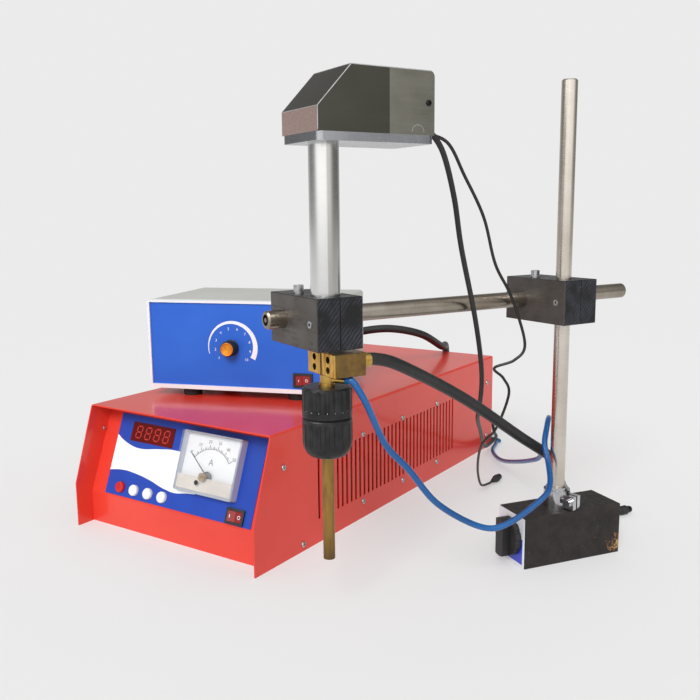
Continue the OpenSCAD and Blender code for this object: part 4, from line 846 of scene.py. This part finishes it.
def ribbed(r_small, r_large, length, ribs):
    """A tapered grip: radius r(s) = r_small + (r_large - r_small) s, less a notch between ribs."""
    s = np.linspace(0, 1, 12 * ribs + 1)
    notch = np.clip(np.sin(2 * math.pi * ribs * s) * 4, 0, 1)
    return np.stack([r_small + (r_large - r_small) * s - 0.12 * r_large * notch, length * s], -1)


def capped(profile):
    """Closes a lathe profile at both ends with a point on its axis."""
    profile = np.asarray(profile, float)
    return np.concatenate([[[on_axis, profile[0, 1]]], profile, [[on_axis, profile[-1, 1]]]])


def cord_end(name, profile, route, finish):
    """A turned piece at the far end of a cord, from a profile of (radius, distance along it)."""
    shape = lathe(capped(profile), end_seat(route))
    return make_piece(name, shape, finish, "base", ["cord_ends"])


grip_length, grip_ribs, collar_l, pin_l = 12, 3, 19, 26
cable_r, small_r = cable_d / 2, 4.9
thick_grip = [*ribbed(cable_r * 0.8, cable_r, grip_length, grip_ribs),
              [cable_r, collar_l - 1], [cable_r - 0.8, collar_l]]
thin_grip = [*ribbed(2.2, small_r, grip_length, grip_ribs),
             [small_r, 16], [4.0, 17], [4.0, 23], [3.2, 24]]
plug_pin = [[4.0, collar_l], [4.0, pin_l - 2], [3.2, pin_l - 0.5], [2.0, pin_l]]
motor_grip = [[3.0, 0], [6.2, 5], [6.9, 5.6], [6.9, 9.5], [6.2, 10], [6.2, 12], [6.9, 12.6],
              [6.9, 21], [6.4, 21.8]]
strainer_r, slot_deep = 5.4, 0.4
strainer_slots = [[strainer_r - slot_deep * (k % 3 != 0), z]
                  for k, z in enumerate(np.linspace(6, 35, 30))]
strainer_shape = [[strainer_r, 0], [strainer_r, 5], *strainer_slots, [4.4, 37.8]]
electrode_plug = cord_end("electrode_plug", thick_grip, electrode_cable_route, "black_plastic")
electrode_pin = cord_end("electrode_plug_pin", plug_pin, electrode_cable_route, "black_steel")
sensor_plug = cord_end("sensor_plug", thin_grip, sensor_cable_route, "black_plastic")
motor_plug = cord_end("motor_plug", motor_grip, motor_cable_route, "black_plastic")
strainer = cord_end("strainer", strainer_shape, pump_hose_route, "white_plastic")


def gland(name, y, cable, play=0.05, wall=2.6, corners=0.25, nut_from=0.05, nut_to=1.5, collar=0.1):
    """A small six-sided gland where a cable leaves the motor cover: r(a) = r + wall + c cos 6a."""
    place = seat(spot(column, cover_back, y, gland_z), arm_y, Z, arm_x)
    r = cable / 2 + play
    a = np.linspace(0, 2 * math.pi, 24, endpoint=False)
    nut_r = r + wall + corners * np.cos(6 * a)
    rings = [place(q * np.cos(a), q * np.sin(a), z)
             for q, z in ((nut_r, nut_from), (nut_r, nut_to), (r + collar, nut_to + collar))]
    shape = np.stack(rings), grid_faces(len(rings), len(a))
    return make_piece(name, shape, "black_plastic", "head")


motor_gland = gland("motor_cable_gland", motor_gland_y, motor_cable_d)
sensor_gland = gland("sensor_cable_gland", sensor_gland_y, sensor_cable_d)
print("plugs, strainer and glands are made")

# %% [markdown]
# ## The five lines
#
# Each line gets the bodies it passes over, the shares of its length at which it is cut, and the
# node that it stands for.

# %% Cables and hoses
lay_cord("electrode_cord", electrode_cable_route, cable_d, "cable_black", to_base,
         (0.2, 0.4, 0.6, 0.8), "electrode_cable")
lay_cord("motor_cord", motor_cable_route, motor_cable_d, "cable_black", cover_to_base,
         (0.18, 0.36, 0.54), "motor_cable")
lay_cord("sensor_cord", sensor_cable_route, sensor_cable_d, "cable_black", cover_to_base,
         (0.24, 0.48, 0.72), "sensor_cable")
lay_cord("water_line", water_hose_route, hose_d, "hose_blue", to_base, (0.07, 0.15, 0.24, 0.36),
         "water_hose")
lay_cord("suction_line", pump_hose_route, pump_hose_d, "cable_black", ["base"], (),
         "pump_hose")
print("five lines are laid")

# %% [markdown]
# ## Marks laid on a surface
#
# Digits, marks and numbers are thin prints. They lie on faces that slope or curve, so each point
# of a mark asks the frame's own mesh how high the face is under it. A ray that is shot at the face
# against its out direction answers that.

# %% Print on a face
print_t, print_gap = 0.12, 0.02


def face_height(node, place, a, b, far=60.0):
    """How far out, in millimetres, the face of a node lies at (a, b) of a seat."""
    origin = Vector(place(a, b, 0.0))
    out = Vector(place(a, b, 1.0)) - origin
    hit, where, _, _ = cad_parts[node].ray_cast(origin + out * far, -out.normalized())
    if not hit:
        raise ValueError(f"no face of {node} under {a}, {b}")
    return (where - origin).length / mm * (1 if (where - origin).dot(out) >= 0 else -1)


def laid(one, other, node, place):
    """A thin print between two edges, which follows the face of a node."""
    edges = [np.array(one, float), np.array(other, float)]
    low = [np.array([face_height(node, place, *p) for p in e]) + print_gap for e in edges]
    ring = [place(edges[k][:, 0], edges[k][:, 1], low[k] + lift)
            for k, lift in ((0, 0), (1, 0), (1, print_t), (0, print_t))]
    return np.stack(ring, 1), bar_faces(len(one))


def stroke(a, b, width, node, place):
    """A straight stroke from a to b."""
    a, b = np.array(a, float), np.array(b, float)
    along = (b - a) / np.linalg.norm(b - a)
    across = np.array([along[1], -along[0]]) * width / 2
    return laid([a - across, b - across], [a + across, b + across], node, place)


def words(text, size, centre, place, height):
    """The outline of generic characters, filled, as a flat print at a height over the seat."""
    curve = bpy.data.curves.new("print", "FONT")
    curve.body, curve.size = text, size * 1.4
    curve.align_x, curve.align_y = "CENTER", "CENTER"
    curve.extrude = 0.5
    curve.resolution_u = 3
    stand_in = bpy.data.objects.new("print", curve)
    mesh = stand_in.to_mesh()
    points = np.array([v.co[:] for v in mesh.vertices])
    faces = [list(f.vertices) for f in mesh.polygons]
    stand_in.to_mesh_clear()
    bpy.data.objects.remove(stand_in)
    bpy.data.curves.remove(curve)
    level_out = height + print_gap + print_t * (points[:, 2] > 0)
    return place(points[:, 0] + centre[0], points[:, 1] + centre[1], level_out), faces


# %% [markdown]
# ## The number display
#
# The display shows four leaning eights of seven bars each, faint because it is dark. Six corners
# name the ends of the bars, and each bar stops a little short of its corners.

# %% Digits
display_x, display_t, digit_count = -55.0, 78.5, 4
digit_w, digit_h, digit_bar, digit_pitch, digit_lean, bar_gap = 8.2, 13.6, 1.5, 14.6, 0.13, 0.9
corners = {"tl": (-1, 1), "tr": (1, 1), "ml": (-1, 0), "mr": (1, 0), "bl": (-1, -1), "br": (1, -1)}
bars = [("tl", "tr"), ("ml", "mr"), ("bl", "br"), ("tl", "ml"), ("ml", "bl"), ("tr", "mr"),
        ("mr", "br")]
digits = []
for k in range(digit_count):
    middle_x = display_x + (k - (digit_count - 1) / 2) * digit_pitch
    for names in bars:
        shares = np.array([corners[key] for key in names])
        up_by = shares[:, 1] * digit_h / 2
        right_by = shares[:, 0] * digit_w / 2 + up_by * digit_lean
        ends = np.stack([middle_x + right_by, display_t + up_by], -1)
        gap = (ends[1] - ends[0]) / np.linalg.norm(ends[1] - ends[0]) * bar_gap
        digits.append(stroke(ends[0] + gap, ends[1] - gap, digit_bar, "display_window", panel))
make_piece("display_digits", digits, "digit_red", "base")
print("bars in the display:", len(digits))

# %% [markdown]
# ## The current meter
#
# The meter's card carries an arc of 104 degrees round the needle's pivot. Fifty steps divide it:
# every second one has a tick, every fifth a longer one, and every tenth the longest and a number.
# Over the pivot lies a black half-round cap, and below it a frosted lip with a screw.

# %% Meter card
meter_pivot, card_out = (43.0, 44.5), 4.0
card_print = (card_out + print_gap, card_out + 0.15)
arc_r, arc_half, swing, steps = 31.0, 0.3, 52.0, 50
number_r, number_size, letter_size, letter_place = arc_r + 8, 3.8, 7.0, (43.0, 61.0)
scale_edges = [arc(meter_pivot, arc_r + side, -swing, swing, 40) for side in (-arc_half, arc_half)]
scale = [bar(*scale_edges, panel, *card_print)]
for k in range(steps + 1):
    angle = -swing + 2 * swing * k / steps
    if k % 2 == 0 or k % 5 == 0:
        reach = 4.6 if k % 10 == 0 else 3.4 if k % 5 == 0 else 2.2
        width = 0.5 if k % 10 else 0.8
        pivot = np.array(meter_pivot)
        scale.append(tick(pivot, arc_r, arc_r + reach, angle, width, panel, *card_print))
for k in range(0, steps + 1, 10):
    angle = -swing + 2 * swing * k / steps
    at = arc(meter_pivot, number_r, angle, angle, 1)[0]
    scale.append(words(str(k), number_size, at, panel, card_out))
scale.append(words("A", letter_size, letter_place, panel, card_out))
make_piece("meter_scale", scale, "print_grey", "base")
print("marks on the meter:", len(scale))

# %% [markdown]
# ## The meter's cap and lip
#
# The cap is half of a low dome, h(r) = h0 + h1 sqrt(1 - (r / R)^2). The lip is a flat bar whose
# front swells by a sine over its width. Both lie just inside the clear window.

# %% Meter cap and lip
cap_radius, cap_base, cap_rise = 6.6, 6.8, 2.0
cap_r = np.linspace(cap_radius, 0.001, 12)
cap_h = cap_base + cap_rise * np.sqrt(1 - (cap_r / cap_radius) ** 2)
half = np.radians(np.linspace(-90, 90, 25))
cap_points = panel(meter_pivot[0] + cap_r[:, None] * np.sin(half),
                   meter_pivot[1] + cap_r[:, None] * np.cos(half), cap_h[:, None] + 0 * half)
make_piece("meter_pivot_cap", (cap_points, grid_faces(len(cap_r), len(half), ring=False)),
           "black_plastic", "base")

lip_left, lip_right, lip_low, lip_top, lip_steps = 4.0, 82.0, 28.4, 43.6, 30
lip_back, lip_front, lip_swell = 8.9, 9.5, 0.3
swell = lip_front + lip_swell * np.sin(np.linspace(0, math.pi, lip_steps))
lip_x = np.linspace(lip_left, lip_right, lip_steps)
lip_edges = [np.stack([lip_x, np.full(lip_steps, t)], -1) for t in (lip_low, lip_top)]
make_piece("meter_lip", bar(*lip_edges, panel, lip_back, swell), "frosted", "base")
lip_screw = capped([(2.7, 12.9), (2.7, 13.15), (2.3, 13.2), (2.1, 13.05)])
lip_screw_seat = seat(spot(panel, 35.5, 37.5, 0.0), [1, 0, 0], panel_up, panel_out)
make_piece("meter_lip_screw", lathe(lip_screw, lip_screw_seat), "black_plastic", "base")
print("the meter has its cap, lip and screw")

# %% [markdown]
# ## Switch marks
#
# Both rockers carry a short bar for on and a ring for off, laid on the tilted face of the rocker.

# %% Rocker marks
def rocker_marks(name, node, body, place, centre, half_apart, r=1.7, line=0.3, dash_w=0.7):
    """A dash on one side of the rocker's middle and a ring on the other."""
    a = np.linspace(0, 2 * math.pi, 25)
    ring_x, dash_x, y = centre[0] + half_apart, centre[0] - half_apart, centre[1]
    edges = [np.stack([ring_x + q * np.cos(a), y + q * np.sin(a)], -1)
             for q in (r - line, r + line)]
    dash = stroke((dash_x, y - r), (dash_x, y + r), dash_w, node, place)
    return make_piece(name, [laid(*edges, node, place), dash], "print_white", body)


rocker_marks("power_marks", "power_rocker", "power_switch", panel, (88.5, 11.5), 5.5)
rocker_marks("pump_marks", "pump_rocker", "pump_switch", pump_front, (81.0, 16.0), 4.5, 1.4)
print("both rockers are marked")

# %% [markdown]
# ## The pump's dial
#
# Round the pump's knob runs a white arc that grows thicker as the flow grows. The numbers 1 to 10
# stand inside it.

# %% Pump dial
dial_mid, dial_r, dial_steps = (-6.0, 52.7), 31.5, 60
sweep = np.linspace(-106, 118, dial_steps)
thick = np.linspace(0.8, 6.5, dial_steps)
outer = np.array([arc(dial_mid, dial_r, a, a, 1)[0] for a in sweep])
inner = np.array([arc(dial_mid, dial_r - w, a, a, 1)[0] for a, w in zip(sweep, thick)])
dial = [laid(inner, outer, "pump_panel", pump_front)]
dial_face = face_height("pump_panel", pump_front, 20, 60)
dial_number_r, dial_number_size = 22.4, 3.3
for k, angle in enumerate(np.linspace(-127.0, 131.0, 10)):
    at = arc(dial_mid, dial_number_r, angle, angle, 1)[0]
    dial.append(words(str(k + 1), dial_number_size, at, pump_front, dial_face))
make_piece("pump_dial", dial, "print_white", "base")
print("marks on the pump:", len(dial))

# %% [markdown]
# ## The pump's knob
#
# The knob is a black fluted skirt with a gold cap. A profile gives the radius, the height and how
# deep the flutes are there, as a share: a cosine round the axis then takes that much away.

# %% Pump knob
knob_mid, knob_flutes, flute_depth = (-8.0, 52.0), 30, 0.7
round_knob = np.linspace(0, 2 * math.pi, 240, endpoint=False)
knob_seat = seat(spot(pump_front, *knob_mid, dial_face), pump_dx, Z, -pump_dy)


def fluted(profile, place):
    """r(h, a) = r(h) - d(h) (1 + cos(n a)) / 2, a lathe with n flutes where the depth isn't 0."""
    r, h, share = np.array(profile, float).T
    radius = r[:, None] - flute_depth * share[:, None] * (1 + np.cos(knob_flutes * round_knob)) / 2
    x, y = radius * np.cos(round_knob), radius * np.sin(round_knob)
    return place(x, y, h[:, None] + 0 * round_knob), grid_faces(len(r), len(round_knob))


skirt = [(0.001, 0.2, 0), (9.2, 0.2, 0), (9.9, 0.6, 0), (9.9, 1.6, 0), (9.6, 2.2, 1),
         (9.2, 12.6, 1), (8.6, 13.6, 0.4), (8.2, 13.9, 0), (7.9, 13.2, 0)]
knob_cap = [(7.95, 13.0, 0), (7.9, 14.1, 0), (7.4, 14.6, 0), (6.9, 14.5, 0), (6.4, 13.9, 0),
            (0.8, 12.9, 0), (0.001, 12.9, 0)]
for name, profile, finish, slot in (("pump_knob_skirt", skirt, "knob_black", "knob_black"),
                                    ("pump_knob_cap", knob_cap, "knob_gold", "knob_brass")):
    make_piece(name, fluted(profile, knob_seat), finish, "flow_knob", ["pump_knob"])
print("flutes round the knob:", knob_flutes)

# %% [markdown]
# ## Cross-headed screws
#
# The case is held by pan-head screws with a cross recess. Each head is one polar grid: a dome whose
# height falls away inside a cross, so the recess needs no cutting.

# %% Screw heads
arm_half, arm_end, arm_blur, end_blur, head_edge, recess = 0.17, 0.66, 0.05, 0.08, 0.45, 0.55


def cross_head(place, radius, height):
    """h(r, a): a dome, minus a cross whose arms are narrower than 2 arm_half and end at arm_end,
    as shares of the radius."""
    share = np.concatenate([[0.001], np.linspace(0.06, 0.9, 22), [0.97, 1.0, 1.0]])[:, None]
    a = np.linspace(0, 2 * math.pi, 64, endpoint=False)
    x, y = share * np.cos(a), share * np.sin(a)
    near_arm = np.minimum(np.abs(x), np.abs(y))
    inside = np.clip((arm_half - near_arm) / arm_blur, 0, 1)
    inside = inside * np.clip((arm_end - share) / end_blur, 0, 1)
    dome = height * (head_edge + (1 - head_edge) * np.sqrt(np.clip(1 - share ** 2, 0, 1)))
    h = dome - recess * height * inside
    h[-1] = print_gap
    return place(radius * x, radius * y, h), grid_faces(len(share), len(a))


case_side, screw_r, screw_h = 135.0, 3.2, 1.95
screw_places = [(-84 + 93 * k, z) for k in range(3) for z in (102, 20)]
screw_places += [(-235, 102), (-204, 8), (264, 102), (264, 20)]
heads = [cross_head(seat([side * case_side, y, z], [0, side, 0], Z, [side, 0, 0]), screw_r, screw_h)
         for side in (1, -1) for y, z in screw_places]
make_piece("case_screw_heads", heads, "zinc_steel", "base", ["case_screws"])
stud_seat, stud_r, stud_h = seat([-133.5, -238.8, 108.0], [0, -1, 0], Z, [1, 0, 0]), 2.2, 1.3
make_piece("flange_stud", cross_head(stud_seat, stud_r, stud_h), "zinc_steel", "base")
print("case screws:", len(heads))

# %% [markdown]
# ## Fold highlights and screws of the motor cover
#
# A thin bright line runs along each fold: a painted highlight, where the rounded fold would catch
# the light. A black screw and the outline of a pressed tab sit on its near side, and a bright screw
# on its slope.

# %% Cover details
cover_nose, cover_top_u, cover_half = -22.0, 9.0, 30.0
cover_low, cover_bend, cover_top = 423.0, 442.0, 475.0
fold_r, fold_in, fold_sides = 0.45, 0.3, 8
near, nose_u, top_z = -cover_half + fold_in, cover_nose + fold_in, cover_top - fold_in
folds = [[(nose_u, near, cover_low + 1), (nose_u, near, cover_bend)],
         [(nose_u, near, cover_bend), (cover_top_u, near, top_z)],
         [(cover_top_u, near, top_z), (cover_back - 4, near, top_z)],
         [(nose_u, near, cover_bend), (nose_u, -near, cover_bend)],
         [(cover_top_u, near, top_z), (cover_top_u, -near, top_z)]]
lines = []
for fold in folds:
    one, other = np.array([spot(column, *end) for end in fold])
    lines.append(tube(one + (other - one) * np.linspace(0, 1, 12)[:, None], fold_r, fold_sides))
# The bright lines along the folds are painted highlights.
make_piece("cover_fold_highlights", lines, "bright_steel", "head")

side_screw = seat(spot(column, 84.0, -cover_half, 449.0), arm_x, Z, -arm_y)
make_piece("cover_side_screw", cross_head(side_screw, 2.6, 1.2), "black_steel", "head")
tab_mid, tab_r, tab_line, tab_t = (73.0, 425.0), 6.0, 0.3, 0.15
tab = [arc(tab_mid, r, -90, 90, 30) for r in (tab_r - tab_line, tab_r + tab_line)]
cover_side = seat(spot(column, 0, -cover_half, 0), arm_x, Z, -arm_y)
make_piece("cover_tab_line", bar(*tab, cover_side, 0.0, tab_t), "bright_steel", "head")
slope_rise, slope_run = cover_top - cover_bend, cover_top_u - cover_nose
slope_up = Z * slope_rise + arm_x * slope_run
slope_up /= np.linalg.norm(slope_up)
slope_u = 15.5
slope_place = spot(column, cover_nose + slope_u, 0.0, cover_bend + slope_u * slope_rise / slope_run)
slope_screw = seat(slope_place, arm_y, slope_up, np.cross(arm_y, slope_up))
make_piece("cover_slope_screw", cross_head(slope_screw, 2.4, 1.2), "zinc_steel", "head")
print("folds on the cover:", len(lines))

# %% [markdown]
# ## Painted glints on the chuck
#
# A small bright dot at the foot of each flute is a painted glint, where the flute's end would catch
# the light. Rays shot at the chuck from all round say how far out its face lies, and in each sector
# the dot sits where that is least.

# %% Chuck dots
dot_z, dot_r, dot_sunk, flute_count, outside = 194.5, 0.5, 0.1, 18, 0.04
round_chuck = np.radians(np.arange(0, 360, 2.0))
chuck_axis = Vector(column(0, 0, dot_z))
depth_at = []
for a in round_chuck:
    way = Vector(arm_x * math.cos(a) + arm_y * math.sin(a))
    hit, place_hit, _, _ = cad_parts["chuck_body"].ray_cast(chuck_axis + way * outside, -way)
    depth_at.append((place_hit - chuck_axis).length / mm if hit else outside / mm)
depth_at = np.array(depth_at)
dots = []
sector = len(round_chuck) // flute_count
for k in range(flute_count):
    part = slice(k * sector, (k + 1) * sector)
    deepest = depth_at[part].min()
    a = round_chuck[part][depth_at[part] <= deepest + print_gap].mean()
    way = arm_x * math.cos(a) + arm_y * math.sin(a)
    dot_seat = seat(column(0, 0, dot_z) / mm + way * (deepest - dot_sunk), np.cross(Z, way), Z, way)
    dome = [(dot_r * math.cos(t), dot_r * math.sin(t)) for t in np.linspace(0, math.pi / 2, 6)]
    dots.append(lathe([(dot_r, -dot_sunk / 2)] + dome, dot_seat, 12))
# The dots are painted glints at the flute ends.
make_piece("chuck_glint_dots", dots, "zinc_steel", "ram")
print("chuck radius at the dots:", depth_at.min().round(2), "to", depth_at.max().round(2))

# %% [markdown]
# ## The floor
#
# The machine stands on a pale seamless table. Near the machine the floor is lit and takes its
# shadow, and farther off it fades to an even glow of the background's own brightness, so no horizon
# shows.

# %% Floor
half_floor, floor_grey, seen_light = 12.0, 0.86, 0.831
fade_from, fade_to, least_glow = 0.55, 1.5, 0.4
floor_mesh = bpy.data.meshes.new("floor")
floor_corners = [(x * half_floor, y * half_floor, 0)
                 for x, y in ((-1, -1), (1, -1), (1, 1), (-1, 1))]
floor_mesh.from_pydata(floor_corners, [], [(0, 1, 2, 3)])
floor = bpy.data.objects.new("floor", floor_mesh)
scene = bpy.context.scene
scene.collection.objects.link(floor)
tree, shader = start_finish("floor_white", Base_Color=(floor_grey, floor_grey, floor_grey, 1),
                            Roughness=1.0, Specular_IOR_Level=0.0)
from_machine = away(tree, (0.1, 0.0, 0.0))
glow = add(tree, "Emission", {"Color": (1, 1, 1, 1), "Strength": seen_light}).outputs[0]
glow_share = ramp(tree, from_machine, fade_from, fade_to, least_glow, 1.0)
faded = add(tree, "MixShader", {0: glow_share, 1: shader.outputs[0], 2: glow}).outputs[0]
tree.links.new(faded, tree.nodes["Material Output"].inputs["Surface"])
floor_mesh.materials.append(finishes["floor_white"])
floor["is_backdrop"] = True
print("the floor is", 2 * half_floor, "m wide")

# %% [markdown]
# ## The sky
#
# The camera sees an even pale grey, also through clear plastic. Metals see a gradient instead,
# bright towards the lamps and dark behind them, since a piece of chrome in an even sky looks like
# paint. Everything matt gets the sky's light at a level of its own.

# %% Sky
diffuse_light = 0.62
sky_stops = [(0.0, 0.62), (0.2, 0.5), (0.34, 0.26), (0.58, 0.28), (0.72, 0.8), (0.82, 1.3),
             (1.0, 1.4)]
scene.view_settings.view_transform = "Standard"
scene.world = bpy.data.worlds.new("sky")
scene.world.use_nodes = True
sky = scene.world.node_tree
ray = add(sky, "LightPath").outputs
lamp_way = (0.45, -0.68, 0.58)
lamp_side = vector(sky, "DOT_PRODUCT", add(sky, "TexCoord").outputs["Generated"], lamp_way)["Value"]
brightest = max(value for _, value in sky_stops)
stops = [(at, value / brightest) for at, value in sky_stops]
mirrored = calc(sky, "MULTIPLY", curve_over(sky, ramp(sky, lamp_side, -1.0, 1.0), stops), brightest)
strength = mix(sky, ray["Is Glossy Ray"], diffuse_light, mirrored, "FLOAT")
strength = mix(sky, ray["Is Camera Ray"], strength, seen_light, "FLOAT")
strength = mix(sky, ray["Is Transmission Ray"], strength, seen_light, "FLOAT")
background = sky.nodes["Background"]
background.inputs["Color"].default_value = (1, 1, 1, 1)
sky.links.new(strength, background.inputs["Strength"])
print("the sky has", len(sky_stops), "stops")

# %% [markdown]
# ## The lamps
#
# A soft sun stands high in front of the control panel, so the front is lighter than the long side,
# as in the photograph. A tall strip beside it is only for the metals to mirror.

# %% Lamps
def lamp(name, kind, energy, place, towards, **settings):
    data = bpy.data.lights.new(name, kind)
    data.energy = energy
    for key, value in settings.items():
        setattr(data, key, value)
    holder = bpy.data.objects.new(name, data)
    aim = (Vector(towards) - Vector(place)).to_track_quat("-Z", "Y")
    holder.matrix_world = Matrix.Translation(place) @ aim.to_matrix().to_4x4()
    scene.collection.objects.link(holder)
    return holder


lamp("sun", "SUN", 1.95, (0.5, -1.6, 1.25), (0, 0, 0), angle=math.radians(24))
strip = lamp("strip", "AREA", 26.0, (-0.5, -1.3, 1.5), (0.25, -0.2, 0.3), shape="RECTANGLE",
             size=0.5, size_y=1.2)
strip.visible_diffuse = False
strip.visible_camera = False
print("two lamps are set")

# %% [markdown]
# ## Sizes and the end
#
# The box of the plain solids and the box of the dressed machine stand side by side as the last
# value of the script.

# %% Sizes and the end
def plain(value):
    """Vectors and tuples as plain lists of floats."""
    if isinstance(value, (int, float, str, bool)) or value is None:
        return value
    if isinstance(value, dict):
        return {k: plain(v) for k, v in value.items()}
    return [plain(v) for v in value]


{"cad": plain(cad_box), "dressed": plain(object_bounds())}
